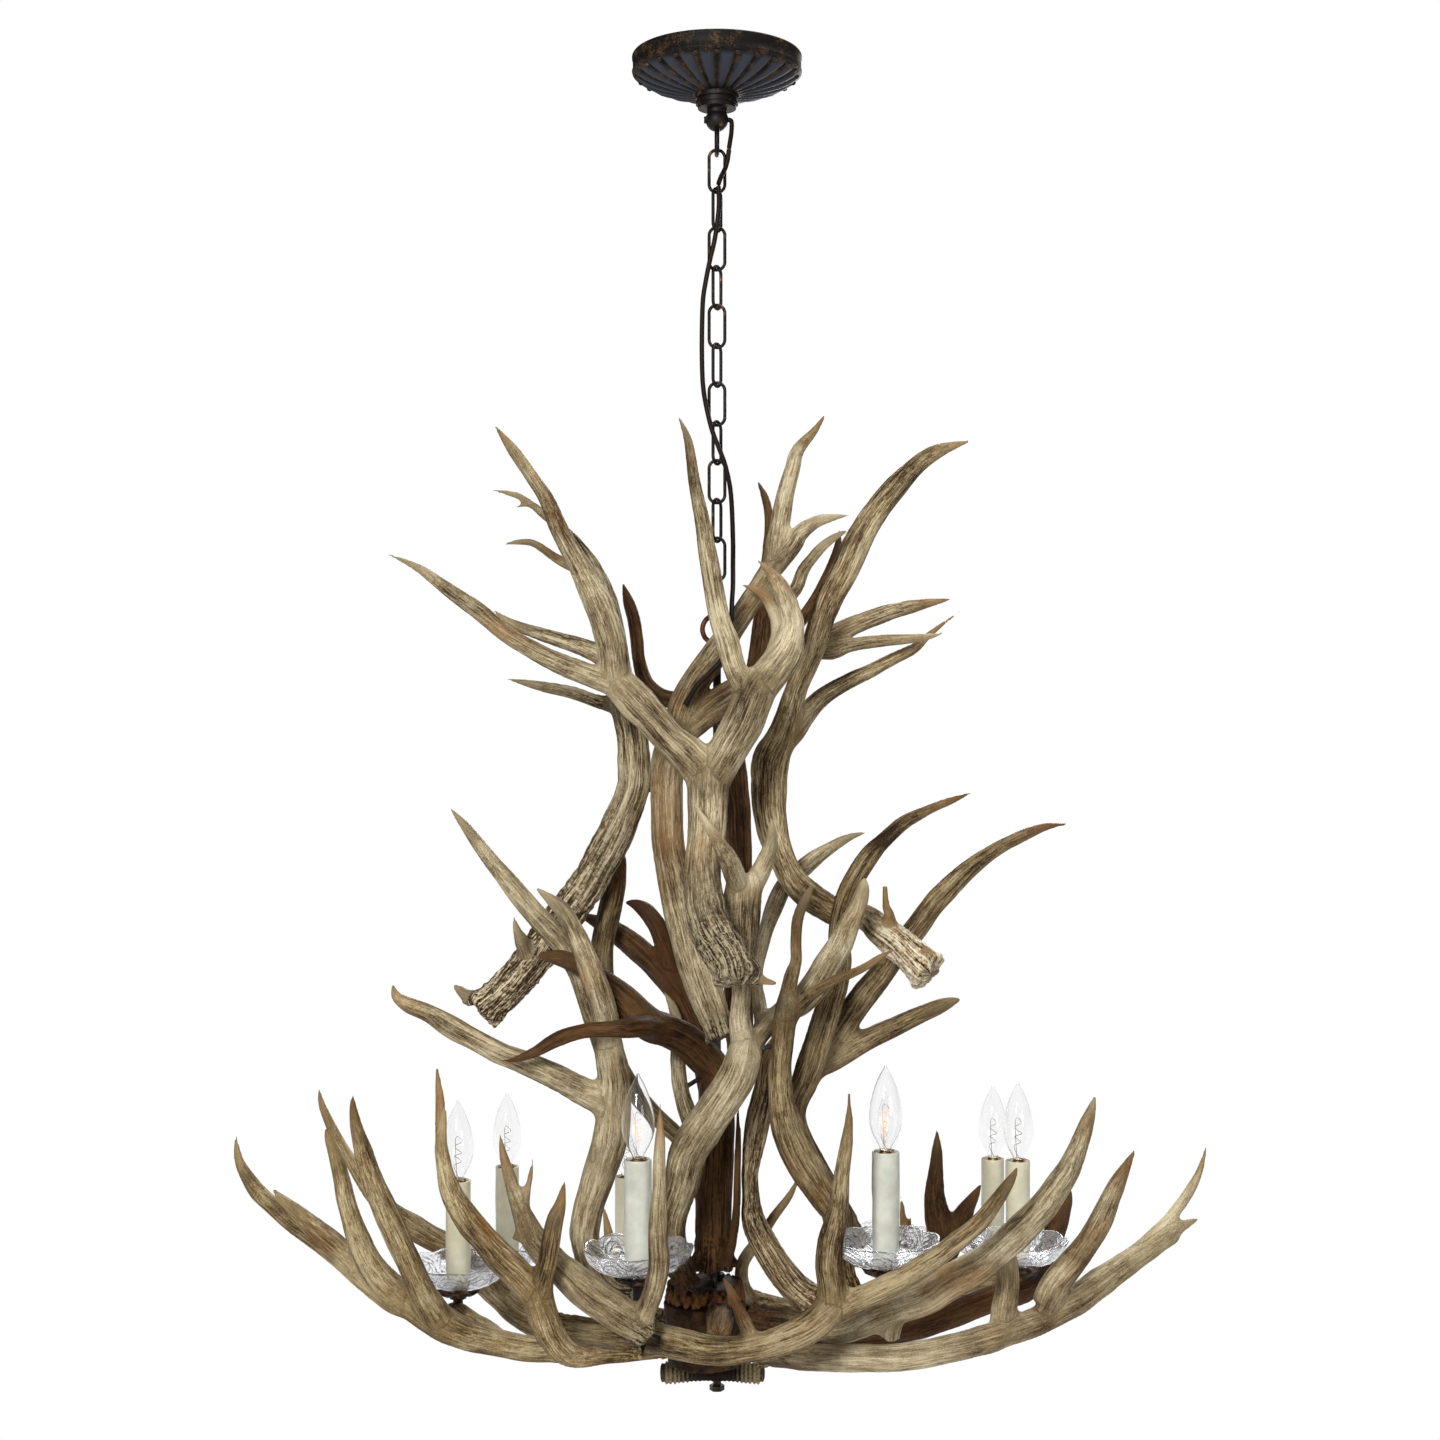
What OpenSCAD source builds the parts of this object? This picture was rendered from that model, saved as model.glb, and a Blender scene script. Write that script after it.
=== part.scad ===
// Antler chandelier with eight candle lights, hung from a ceiling canopy on a chain.
// Millimetres. The origin is the middle of the ceiling face of the bracket, +Z up, -Y towards the viewer.
// Antlers, lights and the cord are drawn full size on one front drawing. A point there is
// [across, depth, down, radius] as seen from the viewing point, and place() carries it to its depth.

/* [Ceiling bracket] */
// Length of the crossbar
bracket_len = 112; // [100:1:130]
// Width of the crossbar
bracket_w = 18; // [16:1:24]
// Thickness of the crossbar
bracket_t = 2.5; // [2:0.25:4]
// Distance between the two outlet box screws
box_screw_span = 88.9; // [84:0.1:92]
// Diameter of the outlet box screw holes
box_screw_d = 4.8; // [4:0.1:6]
// Diameter of the threaded tube through the bracket
nipple_d = 10; // [8:0.5:12]
// Bore of the threaded tube, where the wires pass
nipple_bore = 6.4; // [4:0.2:7]

/* [Canopy] */
// Diameter of the canopy
canopy_d = 170; // [150:1:210]
// Height of the upright band
canopy_band_h = 18; // [12:1:26]
// Drop of the fluted dome below the band
canopy_dome_h = 20; // [14:1:30]
// Wall of the canopy casting
canopy_wall = 2; // [1.5:0.25:3]
// Number of petals on the dome
petals = 24; // [16:1:28]
// Outer diameter of the screw collar
collar_d = 43.4; // [40:0.2:50]
// Height of the screw collar
collar_h = 14; // [10:0.5:18]
// Diameter of the loop's threaded flange
loop_flange_d = 28; // [26:0.5:32]
// Diameter of the loop's ball
ball_d = 23; // [20:0.5:26]

/* [Chain] */
// Outer length of a link
link_len = 45.7; // [42:0.1:50]
// Outer width of a link
link_w = 19; // [17:0.5:24]
// Wire diameter of a link
link_wire = 3.3; // [2.6:0.1:3.8]
// Number of links
link_count = 12; // [8:1:14]
// Turn of every second link from its neighbour
link_turn = 60; // [55:1:90]
// Clearance where two links bear on each other
link_gap = 0.3; // [0.2:0.05:0.4]
// Wire diameter of the canopy loop
loop_wire = 5; // [4:0.2:5.6]

/* [Cord] */
// Diameter of the cord
cord_d = 4.8; // [4:0.2:5.2]

/* [Lights] */
// Outer diameter of a candle sleeve
sleeve_d = 24.6; // [22:0.2:28]
// Wall of a candle sleeve
sleeve_wall = 1; // [0.8:0.1:1.4]
// Length of a candle sleeve
sleeve_h = 100; // [80:1:110]
// Diameter of a glass dish
dish_d = 104; // [96:1:110]
// Height of a glass dish
dish_h = 24; // [18:1:28]
// Thickness of the glass dish
dish_t = 4; // [3:0.5:5]
// Height of a leaf cup
cup_h = 14; // [10:1:18]
// Diameter of a leaf cup
cup_d = 45; // [36:1:52]
// Diameter of the threaded stem under a light
stem_d = 9.8; // [8:0.2:10]
// Diameter of a lamp's screw cap
cap_d = 11.8; // [11:0.1:12]
// Largest diameter of a lamp's glass
bulb_d = 32; // [28:1:36]
// Height of a lamp's glass above its sleeve
bulb_h = 80; // [70:1:95]

/* [Hub] */
// Diameter of the steel rod down the middle
rod_d = 8; // [6:0.5:9]
// Diameter of the hub block
hub_d = 84; // [70:1:90]
// Height of the hub block
hub_h = 62.7; // [55:0.1:70]
// Height of the ring of pearls on the hub
burr_ring_h = 19; // [14:1:24]
// Pearls round the hub's ring
hub_pearls = 20; // [14:1:24]
// Diameter of the two small burrs under the hub
burr_d = 24; // [18:0.5:28]
// Length of each small burr
burr_len = 30; // [22:1:36]

/* [Antlers] */
// Sides of an antler beam
beam_sides = 7; // [7:1:10]
// Sides of a tine
tine_sides = 6; // [5:1:8]
// Pearls round a burr
pearls = 9; // [9:1:14]
// Diameter of the screws that join the antlers
antler_screw_d = 4.5; // [3.5:0.25:5]

/* [Hidden] */
view_distance = 2050;
view_point = [3, -663];
sheet_middle = [720, 720];
fit = 0.05;
seat = 0.3;
nut_across = 13;
nut_h = 5;
socket_drop = 34;
socket_h = 32;
cap_drop = 28.5;
hub_grip = 22;
screw_bite = 8;

// Canopy, loop and chain, from the ceiling down
canopy_low = -canopy_band_h - canopy_dome_h;
loop_top = canopy_low - collar_h - 0.1;
ball_z = loop_top - 10.9;
nipple_end = canopy_low - collar_h - 7;
ring_r = 13;
loop_floor = ball_z - 32;
link_pitch = link_len - 2 * link_wire - link_gap;
chain_top = loop_floor + link_gap + link_wire / 2;
hook_wire = 5;
hook_r = 14.5;
chain_end = chain_top - (link_count - 1) * link_pitch - (link_len - link_wire);
hook_z = chain_end + link_wire / 2 + link_gap + hook_wire / 2 - hook_r;
neck_top = hook_z - hook_r - 1;
neck_floor = neck_top - 16.2;

// The drawing shows the top link and the lower loop at these heights, and hangs from the real ones
drawn_chain_top = -93.05;
drawn_hook_z = -572.3;
top_shift = chain_top - drawn_chain_top;
sheet_shift = hook_z - drawn_hook_z;

// Front drawing to space
function depth_scale(p) = (view_distance + p[1]) / view_distance;
function place(p) = [
    (p[0] - sheet_middle[0]) * depth_scale(p) + view_point[0],
    p[1],
    view_point[1] + sheet_shift - (p[2] - sheet_middle[1]) * depth_scale(p)];
function girth(p) = p[3] * depth_scale(p);

// Crown antlers, from the burr or the fork to the tip
crown_front = [
    [[738, -235, 980, 23], [734, -228, 966, 23], [720, -206, 946, 22.5], [708, -182, 920, 22],
     [703, -158, 888, 20], [703, -140, 860, 19], [707, -124, 830, 20], [708, -114, 800, 21],
     [708, -108, 778, 22]],
    [[708, -108, 778, 20], [690, -106, 757, 20], [670, -104, 738, 18.5], [652, -103, 718, 18],
     [635, -102, 700, 19], [622, -102, 686, 18]],
    [[622, -102, 690, 15], [615, -103, 672, 16], [611, -105, 640, 16], [597, -109, 600, 15],
     [576, -113, 560, 11], [560, -117, 530, 10], [547, -121, 500, 8], [534, -123, 480, 7.5],
     [513, -126, 450, 6], [495, -128, 426, 1.2]],
    [[612, -103, 684, 13], [578, -106, 671, 12], [550, -110, 659, 10.5], [520, -114, 643, 9],
     [500, -116, 629, 9], [480, -118, 612, 9], [450, -120, 591, 7.5], [420, -122, 569, 4.5],
     [388, -124, 554, 1]],
    [[714, -109, 775, 20], [728, -108, 750, 20], [742, -106, 725, 21], [752, -104, 700, 21],
     [760, -102, 683, 19]],
    [[752, -104, 700, 15], [738, -106, 675, 13], [732, -107, 660, 12.5], [727, -108, 640, 12],
     [720, -109, 620, 11], [714, -110, 590, 10.5], [709, -110, 560, 10], [702, -111, 520, 8],
     [694, -113, 480, 6.5], [688, -115, 440, 4.5], [678, -117, 416, 1]],
    [[762, -102, 684, 19], [775, -101, 668, 18.5], [787, -100, 650, 16], [792, -99, 630, 13],
     [792, -98, 620, 12], [786, -96, 600, 11], [775, -94, 578, 7], [757, -92, 560, 1.2]],
    [[770, -98, 662, 10], [777, -88, 640, 8], [776, -80, 620, 6.5], [768, -76, 601, 6],
     [757, -74, 591, 4.5], [741, -73, 584, 1]],
    [[742, -236, 976, 9], [760, -236, 980, 6], [777, -235, 984, 2]]];

crown_left = [
    [[481, -44, 1012, 21], [495, -40, 1000, 20.5], [510, -35, 985, 20], [527, -28, 966, 20],
     [541, -22, 948, 20], [555, -18, 928, 20], [570, -15, 908, 19.5], [585, -12, 888, 19],
     [597, -10, 868, 19], [608, -8, 848, 19], [620, -4, 822, 18.5], [633, 0, 790, 17.5],
     [634, 4, 765, 17], [632, 8, 735, 16.5], [624, 10, 700, 15.5], [618, 12, 672, 15]],
    [[619, 12, 674, 14], [615, 14, 650, 14], [608, 16, 610, 13], [595, 18, 575, 11],
     [575, 20, 545, 8.5], [558, 22, 526, 6], [545, 24, 515, 5], [520, 26, 497, 4], [492, 28, 490, 0.9]],
    [[530, 25, 503, 3.5], [521, 26, 506, 2.5], [513, 26, 509, 0.8]],
    [[572, 19, 565, 7], [556, 20, 558, 5], [535, 24, 544, 4], [520, 26, 542, 3.2], [504, 28, 544, 0.8]],
    [[617, 13, 665, 12], [590, 20, 650, 10], [560, 26, 640, 8], [530, 32, 631, 6.5], [510, 36, 623, 5],
     [493, 40, 610, 1]],
    [[624, 10, 706, 12], [600, 24, 702, 7.5], [570, 32, 692, 6.5], [540, 38, 686, 5.5],
     [507, 44, 679, 1]],
    [[528, -34, 960, 9], [522, -46, 942, 8], [517, -52, 930, 4.5], [513, -56, 915, 1]],
    [[473, -44, 1003, 9], [462, -46, 992, 5.5], [453, -47, 985, 1.5]],
    [[613, -10, 840, 7], [605, -16, 829, 4], [599, -18, 819, 0.8]]];

crown_right = [
    [[930, -62, 974, 20], [922, -57, 967, 19.5], [912, -52, 957, 18.5], [897, -44, 942, 17.5],
     [880, -34, 930, 15.5], [865, -24, 917, 13.5], [840, -17, 913, 14.5], [825, -13, 906, 15],
     [808, -9, 895, 15], [795, -5, 882, 14], [784, 0, 862, 13.5], [775, 5, 840, 15], [771, 8, 820, 17],
     [769, 10, 800, 18], [769, 12, 780, 18.5], [771, 14, 760, 19.5], [780, 16, 740, 16],
     [787, 18, 720, 14], [793, 20, 700, 12.5], [800, 20, 680, 12], [811, 20, 655, 12],
     [817, 20, 635, 13], [829, 18, 600, 14], [846, 15, 568, 15], [857, 12, 543, 14.5],
     [872, 8, 517, 13.5], [893, 4, 490, 12], [914, 0, 468, 10], [938, -4, 451, 7.5], [970, -8, 441, 1.2]],
    [[780, 15, 748, 12], [795, 24, 730, 12], [805, 34, 715, 11], [822, 46, 697, 9.5],
     [845, 58, 683, 8.5], [870, 68, 671, 7.5], [895, 76, 658, 6.5], [915, 82, 648, 5.5],
     [930, 86, 634, 3.4], [960, 90, 611, 0.8]],
    [[890, -44, 928, 9], [889, -48, 915, 6], [886, -50, 905, 4], [885, -51, 886, 2.5]],
    [[924, -64, 954, 6], [931, -66, 949, 3]]];

crown_back = [
    [[721, -62, 1038, 15], [717, -60, 1026, 15.5], [708, -56, 1000, 18], [698, -48, 970, 20],
     [690, -38, 940, 20], [682, -28, 910, 19], [675, -20, 880, 18], [669, -14, 850, 17],
     [667, -10, 820, 17], [667, -12, 790, 17], [668, -22, 760, 17], [675, -36, 737, 17]],
    [[675, -36, 740, 16], [680, -38, 715, 15], [688, -39, 695, 15], [698, -40, 678, 15],
     [712, -41, 658, 14], [728, -42, 635, 13], [742, -42, 615, 12], [762, -42, 585, 12],
     [775, -41, 562, 12]],
    [[773, -41, 566, 12], [779, -40, 530, 11], [784, -38, 500, 9.5], [792, -36, 470, 8],
     [798, -34, 450, 6.5], [815, -32, 430, 4], [827, -30, 412, 0.8]],
    [[774, -42, 568, 11], [792, -46, 546, 10], [800, -48, 533, 9], [816, -52, 522, 6.5],
     [830, -54, 518, 4.5], [850, -56, 515, 0.8]],
    [[762, -41, 592, 9], [780, -36, 599, 8], [795, -30, 590, 7], [804, -26, 569, 6.5],
     [820, -24, 549, 5.5], [835, -23, 537, 4], [850, -22, 529, 0.8]],
    [[675, -36, 738, 17], [695, -34, 722, 15.5], [712, -32, 708, 16], [728, -26, 697, 16],
     [748, -10, 684, 15], [770, 18, 671, 13], [790, 46, 658, 12], [812, 60, 645, 11.5],
     [840, 66, 632, 10.5], [865, 68, 621, 9.5], [890, 70, 612, 8.5], [915, 72, 606, 6.5],
     [940, 74, 601, 3], [952, 75, 599, 0.8]],
    [[812, 60, 651, 9.5], [832, 58, 651, 9], [850, 56, 645, 7.5], [880, 54, 641, 6.5],
     [920, 52, 638, 4.5], [944, 52, 633, 0.8]]];

crown_far = [
    [[742, 62, 1064, 14], [740, 64, 1040, 14.5], [738, 68, 980, 15], [739, 76, 900, 14],
     [738, 88, 820, 13.5], [734, 100, 770, 13], [727, 106, 730, 12.5]],
    [[728, 106, 734, 12], [714, 110, 712, 11], [690, 114, 702, 10], [664, 118, 698, 9],
     [647, 120, 684, 8], [639, 122, 660, 7], [637, 124, 640, 7], [634, 126, 620, 7],
     [628, 128, 600, 5.5], [623, 130, 583, 1]],
    [[728, 106, 732, 12], [746, 110, 700, 12], [756, 114, 670, 11.5], [761, 118, 640, 11],
     [764, 122, 610, 10], [767, 128, 570, 7.5], [769, 132, 530, 5], [768, 134, 510, 4.5],
     [764, 136, 495, 3.8], [757, 138, 480, 1]],
    [[756, 114, 672, 9], [780, 112, 645, 8], [798, 110, 624, 7], [815, 108, 600, 6],
     [830, 106, 570, 5.5], [838, 104, 545, 4], [839, 103, 529, 1]]];

// Middle tier
mid_palm = [
    [[690, -92, 1288, 13], [680, -88, 1268, 14.5], [672, -86, 1240, 15.5], [671, -90, 1215, 17],
     [682, -98, 1180, 19], [690, -106, 1150, 20], [705, -114, 1125, 20], [722, -122, 1100, 19.5],
     [738, -128, 1075, 19.5], [746, -132, 1050, 18]],
    [[746, -132, 1052, 14], [740, -134, 1020, 11.5], [741, -136, 993, 10.5], [742, -137, 960, 14],
     [742, -138, 930, 18], [742, -140, 905, 20], [744, -141, 882, 19]],
    [[738, -149, 884, 12], [729, -166, 861, 11], [717, -165, 840, 7], [703, -158, 818, 4],
     [691, -152, 798, 1]],
    [[752, -141, 886, 12], [760, -141, 872, 11], [768, -142, 855, 9], [772, -143, 835, 6],
     [771, -144, 817, 1.2]],
    [[748, -130, 1050, 13], [760, -115, 1033, 11.5], [775, -100, 1018, 11.5], [790, -92, 1008, 13],
     [803, -90, 1000, 14], [815, -88, 985, 14.5], [826, -86, 968, 14.5], [838, -84, 948, 14],
     [847, -84, 928, 12], [857, -84, 908, 9.5], [863, -84, 890, 7], [864, -84, 878, 2]],
    [[762, -112, 1030, 9], [761, -92, 1014, 8], [759, -74, 1000, 7], [757, -56, 985, 6.5],
     [758, -38, 965, 6.5], [762, -20, 946, 7], [766, -6, 930, 8], [775, 10, 905, 9],
     [785, 26, 885, 9.5], [803, 38, 868, 9.5], [818, 42, 856, 8], [835, 46, 845, 6], [850, 50, 837, 4],
     [867, 52, 832, 1]],
    [[697, -100, 1140, 10], [690, -78, 1120, 9.5], [681, -52, 1090, 8.5], [678, -24, 1060, 8],
     [678, -6, 1030, 7], [673, 2, 1008, 5], [664, 6, 992, 1]]];

mid_front = [
    [[850, -94, 1292, 13], [843, -90, 1270, 14], [838, -91, 1245, 15], [838, -96, 1215, 16],
     [825, -102, 1195, 17], [805, -112, 1165, 18.5], [790, -119, 1135, 17.5], [782, -124, 1105, 14],
     [780, -126, 1075, 12], [782, -127, 1045, 12], [785, -127, 1020, 12.5], [786, -126, 1000, 10.5]],
    [[786, -126, 1002, 9.5], [791, -122, 978, 8], [796, -120, 960, 6.5], [796, -118, 940, 6],
     [798, -116, 918, 6], [806, -114, 898, 5], [814, -112, 883, 1]],
    [[785, -127, 1022, 11], [793, -126, 1014, 9], [805, -125, 1000, 7], [820, -124, 989, 6],
     [835, -123, 980, 5.5], [850, -122, 974, 5], [865, -122, 967, 4.5], [880, -122, 957, 3.5],
     [895, -121, 949, 1]]];

mid_right = [
    [[860, -46, 1246, 13], [848, -53, 1226, 13], [836, -61, 1206, 13], [820, -74, 1182, 13],
     [808, -78, 1160, 13], [798, -79, 1138, 13], [793, -79, 1115, 13], [797, -78, 1098, 13.5],
     [804, -75, 1083, 14], [812, -70, 1060, 14.5], [820, -64, 1035, 14], [828, -58, 1010, 13.5],
     [836, -54, 985, 12], [841, -51, 960, 11.5], [838, -50, 935, 10.5], [840, -50, 915, 10],
     [846, -50, 897, 11], [855, -50, 878, 11], [868, -50, 857, 10.2], [885, -50, 839, 8.5],
     [905, -49, 822, 7.5], [928, -48, 810, 5.5], [950, -47, 801, 4], [971, -46, 793, 1]]];

mid_long = [
    [[842, -14, 1222, 12], [832, -26, 1200, 13], [820, -38, 1178, 13.5], [810, -44, 1160, 13.5],
     [800, -46, 1140, 13.5], [793, -46, 1118, 13.5], [796, -44, 1098, 14], [806, -40, 1078, 14],
     [818, -36, 1060, 14.5], [830, -30, 1044, 15], [840, -26, 1030, 14], [852, -24, 1012, 14],
     [865, -22, 994, 13.5], [878, -17, 978, 13], [893, -12, 958, 12], [914, -9, 931, 12],
     [932, -9, 906, 12], [950, -11, 887, 11], [970, -9, 868, 9.5], [995, -7, 850, 7.5],
     [1020, -5, 837, 6.5], [1045, -3, 827, 4], [1068, -2, 824, 1]],
    [[820, -36, 1064, 13.5], [835, -34, 1058, 13], [855, -32, 1046, 12], [878, -30, 1034, 11],
     [900, -28, 1024, 10], [922, -26, 1014, 9], [945, -25, 1004, 7], [960, -24, 999, 2]]];

mid_left = [
    [[626, -62, 1288, 15.5], [608, -70, 1284, 16], [594, -78, 1268, 15.5], [585, -84, 1240, 15],
     [587, -86, 1215, 15.5], [594, -86, 1190, 16], [602, -86, 1165, 18], [610, -88, 1140, 18],
     [613, -90, 1115, 18], [614, -95, 1080, 17], [611, -102, 1060, 16], [608, -106, 1040, 15]],
    [[612, -90, 1110, 17], [600, -92, 1099, 16], [575, -97, 1087, 14], [550, -101, 1074, 13],
     [525, -104, 1063, 12], [500, -107, 1053, 11.5], [475, -109, 1040, 11.5], [450, -111, 1026, 11.5],
     [428, -113, 1013, 9.5], [408, -114, 1005, 8], [396, -115, 996, 5], [393, -115, 985, 1.5]],
    [[608, -106, 1042, 15], [605, -113, 1015, 14], [598, -120, 990, 13], [590, -122, 968, 12],
     [582, -123, 948, 11], [573, -124, 928, 10], [563, -125, 911, 9], [550, -125, 899, 6],
     [536, -125, 888, 1.5]],
    [[606, -100, 1048, 13], [597, -86, 1025, 12], [590, -72, 1005, 11.5], [580, -58, 975, 12],
     [568, -56, 952, 12.5], [558, -56, 938, 12.5], [540, -57, 919, 12], [520, -58, 896, 11],
     [500, -58, 872, 9.5], [482, -59, 849, 7.5], [465, -60, 826, 5], [450, -60, 808, 1]],
    [[600, -92, 1172, 8], [594, -98, 1157, 4], [592, -100, 1143, 1]]];

trunk = [
    [[714, -28, 1268, 22], [714, -28, 1250, 20], [714, -28, 1200, 19], [716, -28, 1165, 18.5],
     [717, -29, 1130, 18.5], [716, -30, 1100, 18], [713, -32, 1070, 17.5], [701, -38, 1055, 18],
     [685, -48, 1040, 17.5], [668, -62, 1031, 17], [652, -76, 1026, 17.5], [638, -86, 1016, 18]],
    [[654, -84, 1027, 13], [640, -115, 1027, 11.5], [628, -132, 1028, 10.5], [611, -138, 1029, 9],
     [585, -139, 1031, 8], [560, -139, 1038, 8], [537, -137, 1051, 6], [517, -135, 1059, 3.5],
     [502, -134, 1061, 1]],
    [[640, -86, 1018, 18], [622, -88, 1000, 17], [605, -88, 985, 14.5], [585, -88, 968, 11],
     [572, -87, 962, 10], [555, -86, 957, 7.5], [538, -85, 956, 2]],
    [[708, -30, 1198, 9], [697, -32, 1193, 6], [690, -33, 1190, 2.5]],
    [[724, -44, 1258, 8], [731, -56, 1246, 5.5], [736, -66, 1215, 4.5], [737, -68, 1180, 4],
     [738, -68, 1140, 3.5], [738, -66, 1106, 1.2]]];

mid_back = [
    [[714, 50, 1238, 16], [715, 48, 1200, 14.5], [716, 45, 1150, 13.5], [713, 41, 1100, 13.5],
     [705, 35, 1060, 14], [697, 29, 1035, 14], [690, 26, 1015, 14], [680, 26, 995, 14],
     [665, 32, 975, 14], [645, 44, 955, 13], [622, 54, 937, 12], [600, 58, 923, 8], [580, 60, 915, 2.5]],
    [[672, 30, 982, 11], [668, 30, 958, 10], [663, 32, 942, 10], [657, 34, 926, 10], [648, 36, 913, 9],
     [637, 38, 905, 6], [625, 40, 902, 1.5]]];

mid_slim = [
    [[690, -16, 1150, 8], [675, -20, 1134, 9], [655, -22, 1115, 9], [636, -22, 1094, 10],
     [618, -16, 1066, 11], [609, -8, 1030, 12], [604, 0, 1000, 12], [602, 10, 975, 12],
     [602, 18, 950, 12], [605, 22, 930, 12], [611, 24, 905, 12], [616, 26, 882, 11], [620, 28, 862, 7],
     [622, 30, 850, 2]]];

mid_dark = [
    [[817, -76, 1303, 17], [806, -74, 1297, 16], [792, -70, 1285, 15.5], [775, -64, 1262, 15],
     [760, -56, 1237, 14], [753, -50, 1218, 12], [751, -48, 1200, 9.5], [750, -48, 1175, 9],
     [753, -50, 1150, 11], [758, -54, 1120, 13], [765, -58, 1090, 12], [768, -60, 1060, 11.5],
     [775, -58, 1046, 9], [783, -54, 1034, 6], [790, -50, 1026, 2]]];

// Lower tier, spread out as a bowl
bowl_front = [
    [[556, -118, 1326, 14], [575, -124, 1329, 13.5], [600, -136, 1332, 13], [625, -148, 1334, 14],
     [645, -160, 1336, 15.5], [665, -176, 1341, 16], [685, -194, 1345, 16], [705, -206, 1350, 15],
     [725, -214, 1351, 14.5], [745, -218, 1349, 14], [770, -220, 1344, 14.5], [795, -220, 1335, 16],
     [815, -218, 1323, 17], [832, -216, 1308, 17]],
    [[834, -216, 1306, 15.5], [832, -216, 1282, 15], [829, -216, 1262, 14.5], [831, -216, 1240, 13.5],
     [836, -216, 1220, 12], [839, -216, 1200, 10.5], [841, -216, 1180, 8.8], [844, -216, 1160, 7.8],
     [847, -216, 1140, 6.2], [849, -215, 1118, 4], [849, -214, 1093, 1]],
    [[836, -216, 1308, 15], [855, -217, 1300, 12.5], [870, -218, 1294, 12], [900, -218, 1280, 12],
     [920, -218, 1268, 11.5], [940, -218, 1255, 10.5], [960, -217, 1239, 10], [980, -216, 1222, 9],
     [1000, -215, 1196, 7.5], [1012, -214, 1178, 4.5], [1018, -213, 1166, 1.2]],
    [[752, -217, 1340, 9], [744, -214, 1322, 7.5], [737, -210, 1306, 6], [730, -206, 1290, 4.5],
     [723, -204, 1277, 1.2]]];

bowl_front_left = [
    [[649, -206, 1334, 15], [635, -208, 1324, 18], [615, -208, 1311, 19], [590, -206, 1294, 18.5],
     [565, -204, 1272, 16.5], [548, -203, 1256, 15], [533, -202, 1238, 14], [524, -202, 1218, 11.5],
     [517, -202, 1200, 8.5], [511, -202, 1182, 7], [506, -202, 1165, 5.5], [502, -202, 1148, 3.5],
     [500, -202, 1133, 1]],
    [[640, -210, 1324, 13], [645, -212, 1312, 11.5], [650, -214, 1300, 11.3], [656, -218, 1282, 11.3],
     [659, -220, 1262, 11], [658, -221, 1240, 10.3], [658, -221, 1215, 9.5], [659, -221, 1190, 8.2],
     [659, -221, 1165, 7], [660, -221, 1135, 5], [660, -221, 1103, 0.9]],
    [[523, -202, 1210, 7], [528, -203, 1187, 4], [531, -203, 1172, 2.5], [533, -203, 1158, 0.8]],
    [[526, -202, 1230, 9], [518, -202, 1236, 6], [512, -202, 1240, 3]]];

bowl_left_fork = [
    [[641, -186, 1354, 6.5], [620, -192, 1355, 8], [600, -200, 1356, 9], [578, -210, 1356, 12],
     [562, -218, 1349, 14.5], [550, -224, 1333, 15.5], [542, -228, 1312, 16.5], [536, -230, 1292, 17]],
    [[536, -230, 1294, 16.5], [517, -232, 1273, 16], [500, -233, 1257, 15.5], [485, -234, 1240, 14.5],
     [468, -235, 1220, 14], [455, -235, 1200, 12], [447, -235, 1180, 10], [443, -235, 1160, 8.5],
     [441, -235, 1140, 6.5], [443, -234, 1118, 4], [445, -234, 1104, 1]],
    [[538, -231, 1302, 14], [543, -234, 1280, 12], [548, -236, 1260, 10.5], [551, -237, 1240, 10],
     [555, -238, 1220, 9], [560, -238, 1205, 6.5], [563, -238, 1190, 3.5], [565, -238, 1181, 1.2]],
    [[444, -230, 1166, 6], [441, -220, 1140, 6], [440, -214, 1115, 5], [440, -212, 1100, 5],
     [438, -210, 1080, 3], [437, -209, 1063, 0.8]]];

bowl_left_long = [
    [[665, -62, 1340, 16], [640, -74, 1345, 15.5], [615, -84, 1348, 14.5], [590, -92, 1349, 13.5],
     [560, -98, 1350, 13], [530, -100, 1349, 13], [500, -98, 1343, 14], [470, -94, 1336, 15.5],
     [448, -90, 1326, 17.5], [430, -88, 1315, 18], [408, -87, 1300, 17]],
    [[412, -87, 1303, 16.5], [395, -86, 1300, 14.5], [375, -82, 1285, 14], [350, -76, 1265, 12],
     [330, -72, 1250, 10.5], [310, -68, 1236, 9.5], [290, -64, 1222, 9], [272, -60, 1205, 9],
     [258, -57, 1192, 8.5], [247, -54, 1176, 6.8], [240, -52, 1163, 5], [237, -51, 1150, 3.5],
     [236, -50, 1136, 1]],
    [[352, -80, 1262, 13], [343, -84, 1252, 12], [325, -90, 1236, 11.5], [308, -94, 1222, 9.5],
     [292, -96, 1208, 7], [280, -97, 1197, 4.2], [272, -97, 1188, 1]],
    [[404, -88, 1300, 16], [382, -92, 1280, 15], [368, -96, 1260, 13.5], [359, -98, 1240, 12],
     [352, -100, 1220, 10.5], [346, -101, 1200, 10], [342, -102, 1180, 8.8], [336, -102, 1158, 7.2],
     [329, -102, 1138, 5], [326, -102, 1128, 1.5]],
    [[440, -92, 1319, 16], [428, -104, 1302, 14.5], [420, -110, 1288, 14], [412, -114, 1270, 13.2],
     [403, -117, 1250, 13.2], [394, -119, 1230, 13.2], [385, -120, 1210, 13], [376, -121, 1190, 12],
     [369, -121, 1170, 11], [363, -121, 1150, 9.5], [357, -121, 1130, 7], [353, -121, 1108, 4.2],
     [353, -121, 1095, 1]],
    [[500, -96, 1342, 12], [484, -66, 1332, 13], [470, -36, 1324, 13], [458, -6, 1316, 13],
     [450, 12, 1314, 11]]];

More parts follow.
